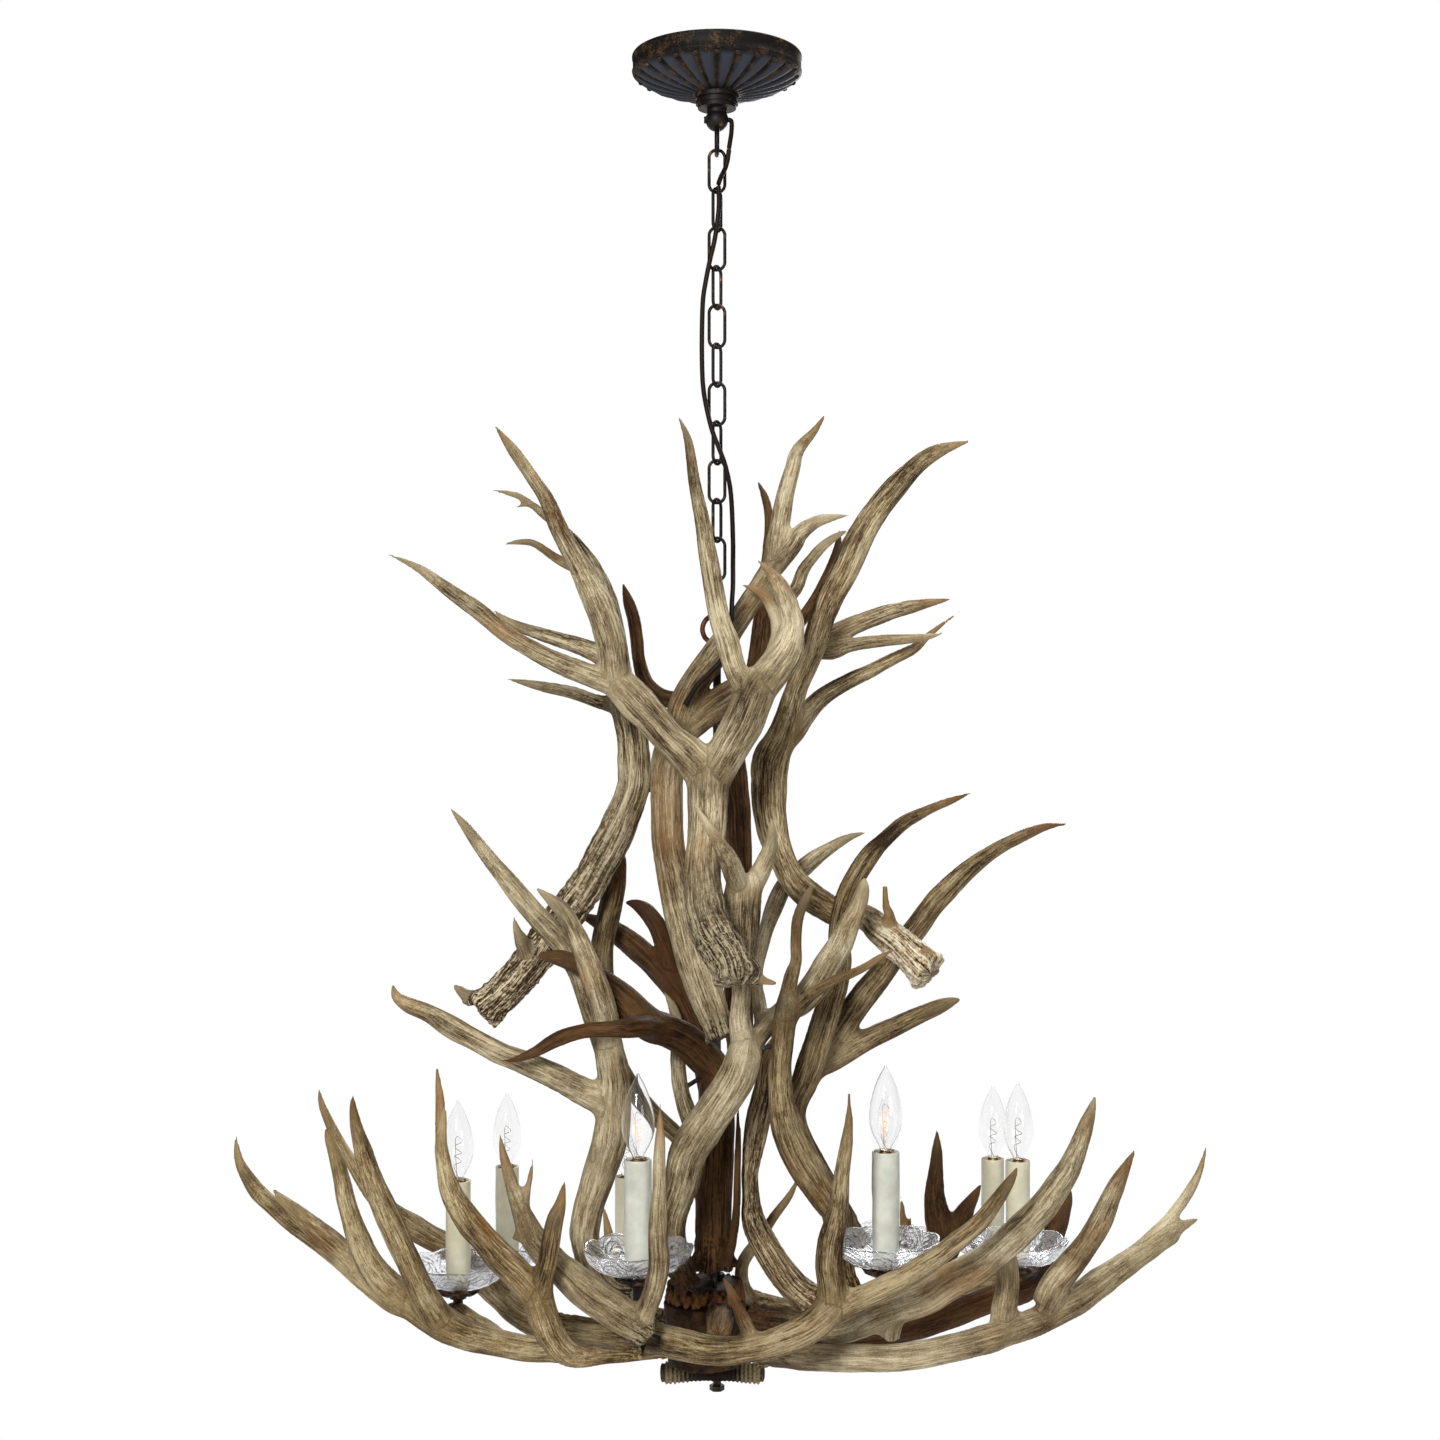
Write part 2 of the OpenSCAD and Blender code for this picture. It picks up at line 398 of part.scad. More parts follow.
bowl_back_left = [
    [[660, 36, 1322, 15], [630, 60, 1330, 15], [600, 80, 1334, 15], [575, 98, 1334, 15],
     [552, 118, 1328, 15], [532, 140, 1320, 15.5], [516, 162, 1308, 16], [504, 174, 1298, 14.5],
     [490, 156, 1287, 13.5], [476, 124, 1271, 12.5], [462, 110, 1258, 12.5], [446, 103, 1246, 12.5],
     [430, 100, 1237, 12.5], [415, 96, 1228, 12.5], [395, 88, 1215, 11], [375, 80, 1197, 9],
     [360, 74, 1177, 7], [349, 70, 1158, 6.5], [338, 66, 1140, 6], [328, 63, 1120, 5],
     [321, 61, 1102, 3.5], [319, 60, 1088, 1]]];

bowl_front_right = [
    [[754, -60, 1320, 16], [775, -78, 1321, 15], [800, -98, 1324, 14], [820, -112, 1328, 13.5],
     [840, -124, 1330, 13.5], [858, -134, 1324, 15], [878, -142, 1314, 17], [900, -148, 1305, 18],
     [925, -152, 1297, 18], [950, -155, 1281, 17.5], [980, -157, 1265, 17], [1000, -158, 1249, 16],
     [1020, -157, 1231, 15.5], [1040, -155, 1210, 15], [1055, -152, 1190, 14], [1068, -149, 1170, 12.5],
     [1079, -146, 1145, 10], [1089, -143, 1117, 6.5], [1095, -141, 1096, 1.5]],
    [[893, -146, 1310, 14], [892, -144, 1323, 12], [889, -140, 1336, 11]]];

bowl_right_long = [
    [[760, -66, 1353, 14.5], [785, -92, 1354, 14], [805, -116, 1357, 13.5], [830, -140, 1358, 14],
     [860, -158, 1358, 14], [900, -168, 1357, 14], [940, -162, 1351, 14], [980, -144, 1341, 14.5],
     [1010, -128, 1331, 14.5], [1040, -112, 1320, 14.5], [1070, -98, 1304, 15], [1100, -84, 1283, 15],
     [1120, -76, 1268, 13], [1150, -66, 1248, 12], [1165, -62, 1237, 10.5], [1180, -58, 1227, 6.5],
     [1198, -54, 1219, 1.5]],
    [[1045, -110, 1306, 14.5], [1052, -108, 1290, 15], [1060, -107, 1278, 14.5], [1075, -105, 1260, 14],
     [1089, -104, 1240, 12.8], [1101, -103, 1220, 12], [1110, -102, 1200, 10.5], [1119, -101, 1180, 8],
     [1128, -100, 1163, 4.5], [1136, -99, 1148, 0.9]],
    [[1158, -64, 1246, 7], [1173, -62, 1243, 3.5], [1182, -61, 1238, 1]],
    [[1135, -70, 1253, 8], [1155, -62, 1232, 6.5], [1170, -56, 1218, 6], [1180, -52, 1205, 6],
     [1190, -48, 1190, 5.2], [1198, -45, 1175, 4], [1203, -43, 1160, 2.5], [1206, -42, 1147, 0.8]],
    [[1002, -128, 1328, 13], [1004, -120, 1310, 13.5], [1007, -114, 1292, 12.5], [1008, -110, 1275, 12],
     [1006, -106, 1257, 11], [1003, -102, 1240, 7], [1001, -100, 1230, 2]]];

bowl_right_dark = [
    [[762, 10, 1342, 14], [800, 24, 1344, 13], [840, 36, 1342, 12], [880, 46, 1337, 12],
     [915, 54, 1328, 12], [945, 58, 1318, 13], [975, 58, 1306, 13.5], [1000, 58, 1296, 13.5],
     [1022, 62, 1291, 13], [1038, 94, 1273, 12.5], [1047, 126, 1253, 12], [1055, 142, 1232, 11],
     [1062, 146, 1212, 9], [1067, 148, 1198, 6], [1069, 149, 1183, 1]]];

bowl_right_palm = [
    [[766, 46, 1338, 12.5], [795, 63, 1335, 14], [825, 80, 1326, 14], [855, 92, 1316, 14],
     [885, 100, 1302, 14], [912, 106, 1286, 14], [932, 110, 1268, 15], [944, 112, 1250, 16],
     [948, 113, 1235, 16]],
    [[944, 112, 1240, 15], [938, 112, 1218, 14], [935, 112, 1200, 11.5], [935, 112, 1185, 9.5],
     [936, 112, 1168, 7.5], [937, 112, 1150, 5.5], [937, 112, 1130, 1.2]],
    [[950, 113, 1240, 14], [960, 114, 1222, 12], [967, 115, 1208, 8.5], [975, 116, 1195, 5],
     [981, 117, 1184, 1.2]]];

bowl_back_right = [
    [[752, 60, 1306, 15], [780, 92, 1312, 15], [810, 124, 1316, 15], [840, 148, 1314, 15],
     [868, 166, 1308, 15], [900, 178, 1300, 14.5], [930, 188, 1293, 14], [960, 196, 1288, 13],
     [985, 200, 1283, 12.5], [1003, 198, 1281, 11]],
    [[868, 168, 1307, 13], [885, 205, 1298, 13], [893, 235, 1289, 12], [890, 262, 1281, 11.5],
     [886, 282, 1276, 9]],
    [[895, 178, 1301, 9], [903, 170, 1275, 7], [905, 165, 1250, 5.5], [904, 162, 1230, 4.5],
     [903, 160, 1215, 3.5], [901, 158, 1196, 0.8]],
    [[905, 164, 1240, 4], [909, 164, 1228, 3.5], [911, 164, 1215, 0.8]],
    [[760, 68, 1306, 9], [744, 40, 1290, 8.5], [742, 16, 1266, 7], [752, 10, 1248, 6.5],
     [765, 8, 1230, 5.8], [775, 6, 1215, 5], [790, 4, 1195, 3.8], [800, 2, 1174, 1]]];

bowl_back = [
    [[694, 44, 1326, 15], [676, 80, 1326, 15], [656, 130, 1322, 14.5], [638, 180, 1314, 14],
     [626, 225, 1302, 14], [618, 250, 1296, 12], [612, 274, 1288, 10.5], [610, 290, 1266, 7.5],
     [609, 294, 1240, 5.5], [607, 295, 1225, 4], [603, 296, 1205, 1]]];

// Rough stub from the hub out to the front beam
front_stub = [
    [[720, -56, 1316, 14], [720, -85, 1319, 14], [720, -118, 1322, 13.5], [719, -150, 1330, 13],
     [718, -180, 1337, 12]]];

// Lights: across and depth of the axis, height of the sleeve's top, length of the stem below the cup
lights = [
    [458, 0, 1180, 16], [507, 180, 1166, 20], [638, -150, 1159, 44], [626, 230, 1176, 20],
    [885.5, -150, 1151, 30], [993, 200, 1158, 18], [1018, 60, 1160, 16], [885, 262, 1160, 18]];

// Cord from the canopy loop down to the crown, woven round the chain: the lead from the loop's ball,
// the length beside the top link, and the main length on the drawing
cord_lead_line = [
    [9, 0, 0], [12.6, 0, 0], [14.6, -0.8, -3], [14.4, -2, -13], [13, -3.4, -23], [12, -4, -29.4]];
cord_link_line = [
    [12, -4, -0.65], [10.6, -4.1, -10.95], [8, -4.4, -19.95], [4, -8, -28.95], [1.5, -13, -37.3]];
cord_line = [
    [718.5, -13, 186.4, 2.4], [719, -14.5, 205, 2.4], [717, -14.5, 225, 2.4], [714, -14.5, 243, 2.4],
    [710, -14, 260, 2.4], [706, -12, 280, 2.4], [703, -9, 300, 2.4], [702, -6, 330, 2.4],
    [702, -5, 360, 2.4], [703, -7, 385, 2.4], [706, -11, 405, 2.4], [712, -14, 430, 2.4],
    [719, -15, 448, 2.4], [726, -13, 468, 2.4], [731, -9, 495, 2.4], [733, -8, 540, 2.4],
    [733, -16, 565, 2.4], [733, -31, 585, 2.4], [732, -46, 602, 2.4], [731, -60, 620, 2.4],
    [727, -65, 640, 2.4], [721, -65, 660, 2.4], [710, -64, 673, 2.4], [698, -62, 685, 2.4],
    [690, -60, 697, 2.4], [685, -59, 705, 2.4]];

// Hub
hub_point = [704.93, -10, 1280.74];
hub_at = place(hub_point);
burr_ring_top = hub_at[2];
block_top = burr_ring_top - burr_ring_h;
block_floor = block_top - hub_h;
burr_top = block_floor - 1;
burr_ends = [-57, 48];
rod_top = neck_floor + 6;
rod_end = burr_top - burr_d - nut_h - 1;

// Screws that join the antlers, from a point inside one to a point inside the next
screws = [
    [crown_front[0][2], mid_palm[1][4]],
    [crown_front[0][8], crown_back[0][10]],
    [crown_left[0][5], mid_left[3][5]],
    [crown_left[0][11], crown_back[0][9]],
    [crown_right[0][3], mid_long[0][14]],
    [crown_right[0][10], mid_palm[5][8]],
    [crown_back[0][1], trunk[0][7]],
    [crown_far[0][0], mid_back[0][4]],
    [mid_palm[0][9], mid_front[0][9]],
    [mid_palm[6][2], trunk[0][6]],
    [mid_front[0][1], mid_right[0][0]],
    [mid_right[0][6], mid_long[0][5]],
    [mid_front[0][0], bowl_front_right[0][5]],
    [mid_left[2][0], trunk[0][11]],
    [mid_left[0][0], bowl_left_long[0][1]],
    [mid_slim[0][0], trunk[0][4]],
    [mid_dark[0][0], bowl_front_right[0][3]],
    [front_stub[0][4], bowl_front[0][8]],
    [bowl_front_left[0][0], bowl_front[0][5]],
    [bowl_left_fork[0][0], bowl_front[0][4]]];

// Screws from the hub out to the antlers that start at it
hub_screws = [
    trunk[0][0], mid_palm[0][0], mid_back[0][0], front_stub[0][0], bowl_left_long[0][0],
    bowl_back_left[0][0], bowl_front_right[0][0], bowl_right_long[0][0], bowl_right_dark[0][0],
    bowl_right_palm[0][0], bowl_back_right[0][0], bowl_back[0][0]];

bark = [0.62, 0.54, 0.42];
dark_bark = [0.36, 0.27, 0.19];
red_bark = [0.45, 0.28, 0.18];
bronze = [0.13, 0.10, 0.07];
ivory = [0.84, 0.83, 0.74];
clear = [0.85, 0.9, 0.92, 0.4];

function unit(v) = v / norm(v);
function heading(pts, i) = unit(pts[min(i + 1, len(pts) - 1)] - pts[max(i - 1, 0)]);
function side_of(t) = unit(cross(t, abs(t[1]) < 0.9 ? [0, 1, 0] : [1, 0, 0]));
function carried(n, t) = unit(n - (n * t) * t);
function normals(ts) = [
    for (i = 0, n = side_of(ts[0]); i < len(ts); i = i + 1, n = carried(n, ts[min(i, len(ts) - 1)])) n];
function ring(p, t, n, r, s) = [
    for (k = [0:s - 1]) p + r * (cos(k * 360 / s) * n + sin(k * 360 / s) * cross(t, n))];

// One beam or tine: rings of s corners along the points, closed at both ends
module tube(pts, rs, s) {
    ts = [for (i = [0:len(pts) - 1]) heading(pts, i)];
    ns = normals(ts);
    last = len(pts) - 1;
    corners = [for (i = [0:last]) each ring(pts[i], ts[i], ns[i], rs[i], s)];
    sides = [for (i = [0:last - 1], k = [0:s - 1])
        let (a = i * s + k, b = i * s + (k + 1) % s, c = (i + 1) * s + (k + 1) % s, d = (i + 1) * s + k)
        each [[a, d, c], [a, c, b]]];
    polyhedron(
        points = corners,
        faces = concat([[for (k = [0:s - 1]) k]], sides, [[for (k = [0:s - 1]) last * s + s - 1 - k]]),
        convexity = 6);
}

module limb(run, s) {
    tube([for (p = run) place(p)], [for (p = run) girth(p)], s);
}

// Stand the children on point p, with their Z along t
module aim(p, t) {
    translate(p) rotate([0, acos(t[2]), atan2(t[1], t[0])]) children();
}

// Ring of pearls round the base of an antler
module coronet(run) {
    r = girth(run[0]);
    aim(place(run[0]), unit(place(run[1]) - place(run[0])))
        for (k = [0:pearls - 1])
            rotate([0, 0, (k + 0.35 * sin(k * 137)) * 360 / pearls])
                hull() {
                    translate([0.86 * r, 0, 0.2]) cylinder(h = 0.24 * r, r = 0.2 * r, $fn = 5);
                    translate([0.92 * r, 0, 0.2]) cylinder(h = 0.14 * r, r = 0.24 * r, $fn = 5);
                }
}

module antler(tint, runs) {
    color(tint) union() {
        coronet(runs[0]);
        limb(runs[0], beam_sides);
        for (i = [1:1:len(runs) - 1])
            limb(runs[i], tine_sides);
    }
}

module bolt(a, b, d) {
    aim(a, unit(b - a)) cylinder(h = norm(b - a), d = d);
}

module nut(z, across, bore, h) {
    translate([0, 0, z]) difference() {
        cylinder(h = h, d = across / cos(30), $fn = 6);
        translate([0, 0, -1]) cylinder(h = h + 2, d = bore);
    }
}

// Link in the XZ plane, its top wire's centre at the origin
module link() {
    bend = (link_w - link_wire) / 2;
    run = link_len - link_w;
    translate([0, 0, -bend]) {
        rotate([90, 0, 0]) rotate_extrude(angle = 180) translate([bend, 0]) circle(d = link_wire);
        for (side = [-bend, bend])
            translate([side, 0, -run]) cylinder(h = run, d = link_wire);
        translate([0, 0, -run]) rotate([-90, 0, 0])
            rotate_extrude(angle = 180) translate([bend, 0]) circle(d = link_wire);
    }
}

module ceiling_bracket() {
    color(bronze) difference() {
        translate([-bracket_len / 2, -bracket_w / 2, -bracket_t]) cube([bracket_len, bracket_w, bracket_t]);
        for (side = [-1, 1])
            translate([side * box_screw_span / 2, 0, -bracket_t - 1])
                cylinder(h = bracket_t + 2, d = box_screw_d);
        translate([0, 0, -bracket_t - 1]) cylinder(h = bracket_t + 2, d = nipple_d + 2 * fit);
    }
}

module bracket_nipple() {
    color([0.6, 0.5, 0.3]) difference() {
        translate([0, 0, nipple_end]) cylinder(h = -nipple_end - 0.5, d = nipple_d);
        translate([0, 0, nipple_end - 1]) cylinder(h = 2 - nipple_end, d = nipple_bore);
    }
}

module nipple_locknut() {
    color([0.6, 0.5, 0.3]) nut(-bracket_t - 4, 16, nipple_d + 2 * fit, 4);
}

module canopy() {
    r = canopy_d / 2;
    inner = collar_d / 2 + 0.6;
    low = canopy_low;
    band = -canopy_band_h;
    bore = nipple_d / 2 + 0.2;
    color(bronze) union() {
        rotate_extrude() polygon([
            [r, 0], [r, band + 2], [r - 3, band - 1], [r - 12, band - 7], [r - 34, low + 4], [inner, low],
            [bore, low], [bore, low + canopy_wall], [inner, low + canopy_wall],
            [r - 34, low + 4 + canopy_wall], [r - 12, band - 7 + canopy_wall],
            [r - canopy_wall - 1, band + 1.4], [r - canopy_wall, 0]]);
        for (k = [0:petals - 1])
            rotate([0, 0, (k + 0.5) * 360 / petals]) translate([r - 6, 0, band - 5]) sphere(r = 2.6);
    }
}

module collar_ring() {
    low = canopy_low;
    color(bronze) difference() {
        union() {
            translate([0, 0, low - collar_h]) cylinder(h = collar_h, d = collar_d - 5);
            translate([0, 0, low - 4.5]) cylinder(h = 4.5, d = collar_d);
            translate([0, 0, low - 10]) cylinder(h = 3, d = collar_d - 1);
        }
        translate([0, 0, low - collar_h - 1]) cylinder(h = collar_h + 2, d = nipple_d + 2 * fit);
    }
}

module canopy_loop() {
    color(bronze) difference() {
        union() {
            translate([0, 0, loop_top - 4.4]) cylinder(h = 4.4, d = loop_flange_d - 8);
            translate([0, 0, ball_z]) sphere(d = ball_d);
            translate([-ball_d / 2 - 1.5, 0, ball_z]) rotate([0, 90, 0]) cylinder(h = 3, d = 7);
            translate([0, 0, loop_floor - loop_wire / 2 + ring_r]) rotate([0, 90, 0])
                rotate_extrude() translate([ring_r, 0]) circle(d = loop_wire);
        }
        translate([0, 0, nipple_end - 1]) cylinder(h = 12, d = nipple_d + 2 * fit);
        translate([3, 0, ball_z]) rotate([0, 90, 0]) cylinder(h = 12, d = cord_d + 0.6);
    }
}

module wire_nuts() {
    color([0.75, 0.55, 0.1])
        for (x = [22, 36, -24])
            translate([x, 0, -bracket_t - seat - 14]) union() {
                cylinder(h = 14, r1 = 5, r2 = 3.4);
                translate([0, 0, -2]) cylinder(h = 2.5, r = 5.6);
            }
}

module chain_link_top() {
    color(bronze) translate([0, 0, chain_top]) link();
}

module chain_links() {
    color(bronze)
        for (k = [1:link_count - 1])
            translate([0, 0, chain_top - k * link_pitch]) rotate([0, 0, k % 2 * link_turn]) link();
}

module lower_loop() {
    color(red_bark) difference() {
        union() {
            translate([0, 0, hook_z]) rotate([90, 0, 0])
                rotate_extrude() translate([hook_r, 0]) circle(d = hook_wire);
            translate([0, 0, neck_floor]) cylinder(h = neck_top - neck_floor, d = nut_across);
            translate([0, 0, neck_floor + 4]) cylinder(h = 5, d = nut_across + 4);
        }
        translate([0, 0, neck_floor - 1]) cylinder(h = rod_top - neck_floor + 1.2, d = rod_d + 2 * fit);
    }
}

module centre_rod() {
    color([0.5, 0.48, 0.45]) bolt([0, 0, rod_end], [0, 0, rod_top], rod_d);
}

module rod_nuts() {
    color([0.5, 0.48, 0.45]) {
        nut(neck_floor - nut_h, nut_across, rod_d + 2 * fit, nut_h);
        nut(burr_ring_top, nut_across, rod_d + 2 * fit, nut_h);
        nut(burr_top - burr_d - nut_h, nut_across, rod_d + 2 * fit, nut_h);
    }
}

module hub_burr_ring() {
    h = burr_ring_h;
    color(red_bark) difference() {
        translate([hub_at[0], hub_at[1], block_top]) union() {
            translate([0, 0, 0.5]) cylinder(h = h - 0.5, r = hub_d / 2 - 6);
            for (k = [0:hub_pearls - 1])
                rotate([0, 0, k * 360 / hub_pearls]) translate([hub_d / 2 - 6, 0, 0.18 * h + k % 3])
                    cylinder(h = 0.58 * h, r1 = 4.2, r2 = 3);
        }
        translate([0, 0, block_top - 1]) cylinder(h = h + 2, d = rod_d + 2 * fit);
    }
}

module hub_block() {
    color(dark_bark) difference() {
        translate([hub_at[0], hub_at[1], block_floor])
            cylinder(h = block_top - block_floor + 0.5, r1 = hub_d / 2 - 4, r2 = hub_d / 2);
        translate([0, 0, block_floor - 1]) cylinder(h = block_top - block_floor + 3, d = rod_d + 2 * fit);
    }
}

// Two small burrs side by side under the hub, with the rod between them
module bottom_burrs() {
    mid = burr_top - burr_d / 2;
    color(dark_bark) difference() {
        union() {
            translate([burr_ends[0] + 7, 0, mid]) rotate([0, 90, 0])
                cylinder(h = burr_ends[1] - burr_ends[0] - 14, d = burr_d - 10);
            for (x = [burr_ends[0], burr_ends[1] - burr_len])
                translate([x, 0, mid]) rotate([0, 90, 0]) union() {
                    cylinder(h = burr_len, d = burr_d - 5);
                    for (k = [0:8])
                        rotate([0, 0, k * 40]) translate([burr_d / 2 - 3, 0, 1])
                            cylinder(h = burr_len - 2, r = 3);
                }
            translate([0, 0, mid - burr_d / 2]) cylinder(h = burr_d, d = 18);
        }
        translate([0, 0, mid - burr_d]) cylinder(h = 2 * burr_d, d = rod_d + 2 * fit);
    }
}

module antler_screws() {
    color([0.45, 0.42, 0.36]) {
        for (pair = screws)
            bolt(place(pair[0]), place(pair[1]), antler_screw_d);
        for (p = hub_screws) {
            a = place(p);
            z = min(burr_ring_top - screw_bite, max(block_floor + screw_bite, a[2]));
            h = [hub_at[0], hub_at[1], z];
            reach = unit([a[0] - h[0], a[1] - h[1], 0]) * hub_grip;
            bolt(h + reach, a + unit(a - h - reach) * screw_bite, antler_screw_d);
        }
    }
}

module cord(pts) {
    color([0.1, 0.07, 0.05]) tube(pts, [for (p = pts) cord_d / 2], 8);
}

module cord_lead() {
    cord([for (p = cord_lead_line) p + [0, 0, ball_z]]);
}

module cord_link() {
    cord([for (p = cord_link_line) p + [0, 0, chain_top]]);
}

// The main length keeps to the chain at its top and to the antlers from the crown down
module cord_main() {
    top = cord_line[0][2];
    crown = 540;
    cord([for (p = cord_line)
        place(p) + [0, 0, (top_shift - sheet_shift) * max(0, crown - p[2]) / (crown - top)]]);
}

// Everything below is placed from the top of a light's sleeve
function light_top(k) = place([lights[k][0], lights[k][1], lights[k][2]]);
dish_floor = -sleeve_h - dish_t;

module at_lights() {
    for (k = [0:len(lights) - 1])
        translate(light_top(k)) children();
}

module light_stems() {
    color([0.6, 0.5, 0.3])
        for (k = [0:len(lights) - 1])
            translate(light_top(k) + [0, 0, dish_floor - cup_h - lights[k][3]])
                cylinder(h = lights[k][3] + cup_h - dish_floor - socket_drop, d = stem_d);
}

module leaf_cups() {
    color(bronze) at_lights() translate([0, 0, dish_floor - cup_h]) difference() {
        union() {
            cylinder(h = 4, d = 17);
            translate([0, 0, 4]) cylinder(h = cup_h - 4, d1 = 15, d2 = cup_d);
        }
        translate([0, 0, -1]) cylinder(h = cup_h + 2, d = stem_d + 2 * fit);
    }
}

module glass_dishes() {
    r = dish_d / 2;
    color(clear) at_lights() translate([0, 0, dish_floor]) rotate_extrude() polygon([
        [stem_d / 2 + fit, 0], [26, 0], [40, 4], [r - 4, 13], [r, dish_h], [r - dish_t, dish_h - 0.5],
        [r - 9, 15], [37, dish_t + 3], [24, dish_t], [stem_d / 2 + fit, dish_t]]);
}

module candle_sleeves() {
    color(ivory) at_lights() translate([0, 0, -sleeve_h]) difference() {
        cylinder(h = sleeve_h, d = sleeve_d);
        translate([0, 0, -1]) cylinder(h = sleeve_h + 2, d = sleeve_d - 2 * sleeve_wall);
    }
}

module lamp_sockets() {
    color([0.1, 0.1, 0.1]) at_lights() difference() {
        union() {
            translate([0, 0, -socket_drop]) cylinder(h = socket_h, d = cap_d + 5);
            translate([0, 0, -socket_drop + 8]) cylinder(h = 4, d = sleeve_d - 2 * sleeve_wall);
        }
        translate([0, 0, -cap_drop - 0.5]) cylinder(h = 40, d = cap_d + 2 * fit);
    }
}

module bulb(k) {
    w = bulb_d / 2;
    h = bulb_h / 80;
    color([0.95, 0.9, 0.75, 0.5]) translate(light_top(k)) rotate_extrude() polygon([
        [0, -cap_drop], [3, -cap_drop], [cap_d / 2, 3.5 - cap_drop], [cap_d / 2, -1], [6, 4 * h],
        [w * 0.62, 12 * h], [w * 0.9, 20 * h], [w, 28 * h], [w * 0.95, 36 * h], [w * 0.76, 47 * h],
        [w * 0.5, 58 * h], [w * 0.26, 68 * h], [w * 0.12, 76 * h], [0, 80 * h]]);
}

module bulb_1() {
    bulb(0);
}

module bulb_2() {
    bulb(1);
}

module bulb_3() {
    bulb(2);
}

module bulb_4() {
    bulb(3);
}

module bulb_5() {
    bulb(4);
}

module bulb_6() {
    bulb(5);
}

module bulb_7() {
    bulb(6);
}

module bulb_8() {
    bulb(7);
}

module antler_crown_front() {
    antler(bark, crown_front);
}

module antler_crown_left() {
    antler(bark, crown_left);
}

module antler_crown_right() {
    antler(bark, crown_right);
}

module antler_crown_back() {
    antler(bark, crown_back);
}

module antler_crown_far() {
    antler(red_bark, crown_far);
}

module antler_mid_palm() {
    antler(bark, mid_palm);
}

module antler_mid_front() {
    antler(bark, mid_front);
}

module antler_mid_right() {
    antler(bark, mid_right);
}

module antler_mid_long() {
    antler(bark, mid_long);
}

module antler_mid_left() {
    antler(bark, mid_left);
}

module antler_trunk() {
    antler(dark_bark, trunk);
}

module antler_mid_back() {
    antler(dark_bark, mid_back);
}

module antler_mid_slim() {
    antler(bark, mid_slim);
}

module antler_mid_dark() {
    antler(bark, mid_dark);
}

module antler_front_stub() {
    antler(bark, front_stub);
}

module antler_bowl_front() {
    antler(bark, bowl_front);
}

module antler_bowl_front_left() {
    antler(bark, bowl_front_left);
}

module antler_bowl_left_fork() {
    antler(bark, bowl_left_fork);
}

module antler_bowl_left_long() {
    antler(bark, bowl_left_long);
}

module antler_bowl_back_left() {
    antler(bark, bowl_back_left);
}

module antler_bowl_front_right() {
    antler(bark, bowl_front_right);
}

module antler_bowl_right_long() {
    antler(bark, bowl_right_long);
}

module antler_bowl_right_dark() {
    antler(dark_bark, bowl_right_dark);
}

module antler_bowl_right_palm() {
    antler(dark_bark, bowl_right_palm);
}

module antler_bowl_back_right() {
    antler(bark, bowl_back_right);
}

module antler_bowl_back() {
    antler(bark, bowl_back);
}

ceiling_bracket();
bracket_nipple();
nipple_locknut();
canopy();
collar_ring();
canopy_loop();
wire_nuts();
chain_link_top();
chain_links();
lower_loop();
centre_rod();
rod_nuts();
hub_burr_ring();
hub_block();
bottom_burrs();
antler_screws();
cord_lead();
cord_link();
cord_main();
light_stems();
leaf_cups();
glass_dishes();
candle_sleeves();
lamp_sockets();
bulb_1();
bulb_2();
bulb_3();
bulb_4();
bulb_5();
bulb_6();
bulb_7();
bulb_8();
antler_crown_front();
antler_crown_left();
antler_crown_right();
antler_crown_back();
antler_crown_far();
antler_mid_palm();
antler_mid_front();
antler_mid_right();
antler_mid_long();
antler_mid_left();
antler_trunk();
antler_mid_back();
antler_mid_slim();
antler_mid_dark();
antler_front_stub();
antler_bowl_front();
antler_bowl_front_left();
antler_bowl_left_fork();
antler_bowl_left_long();
antler_bowl_back_left();
antler_bowl_front_right();
antler_bowl_right_long();
antler_bowl_right_dark();
antler_bowl_right_palm();
antler_bowl_back_right();
antler_bowl_back();
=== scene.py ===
# Looks of the antler chandelier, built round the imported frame. Metres, one frame for everything.
import math
import random
import bpy
import bmesh
import numpy as np
from mathutils import Matrix, Vector, noise


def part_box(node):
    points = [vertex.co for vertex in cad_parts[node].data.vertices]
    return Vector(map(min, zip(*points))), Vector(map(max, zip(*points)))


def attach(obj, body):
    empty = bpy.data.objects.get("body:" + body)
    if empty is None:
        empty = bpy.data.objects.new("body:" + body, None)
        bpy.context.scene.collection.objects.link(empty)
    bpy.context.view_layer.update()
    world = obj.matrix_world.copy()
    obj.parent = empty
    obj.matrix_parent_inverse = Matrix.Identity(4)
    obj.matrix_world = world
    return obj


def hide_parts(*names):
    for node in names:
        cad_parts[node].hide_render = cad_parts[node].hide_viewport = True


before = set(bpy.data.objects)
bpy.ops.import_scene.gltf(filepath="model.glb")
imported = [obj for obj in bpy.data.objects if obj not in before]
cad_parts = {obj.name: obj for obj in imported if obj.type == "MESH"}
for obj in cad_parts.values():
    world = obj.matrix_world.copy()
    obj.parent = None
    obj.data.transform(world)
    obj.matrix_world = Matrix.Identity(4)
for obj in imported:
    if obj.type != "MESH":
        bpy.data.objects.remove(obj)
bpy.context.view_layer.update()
scene = bpy.context.scene
scene.view_settings.view_transform = "Standard"
print("frame loaded")

# The front drawing: a full-size sheet in millimetres, seen from the viewing point
sheet = {"distance": 2.05, "eyeAcross": 0.003, "eyeHeight": -0.663, "middle": 720, "lens": 51.25, "film": 36}


def growth(point):
    # How much larger a thing at this depth is than it is drawn
    return (sheet["distance"] + point[1] / 1000) / sheet["distance"]


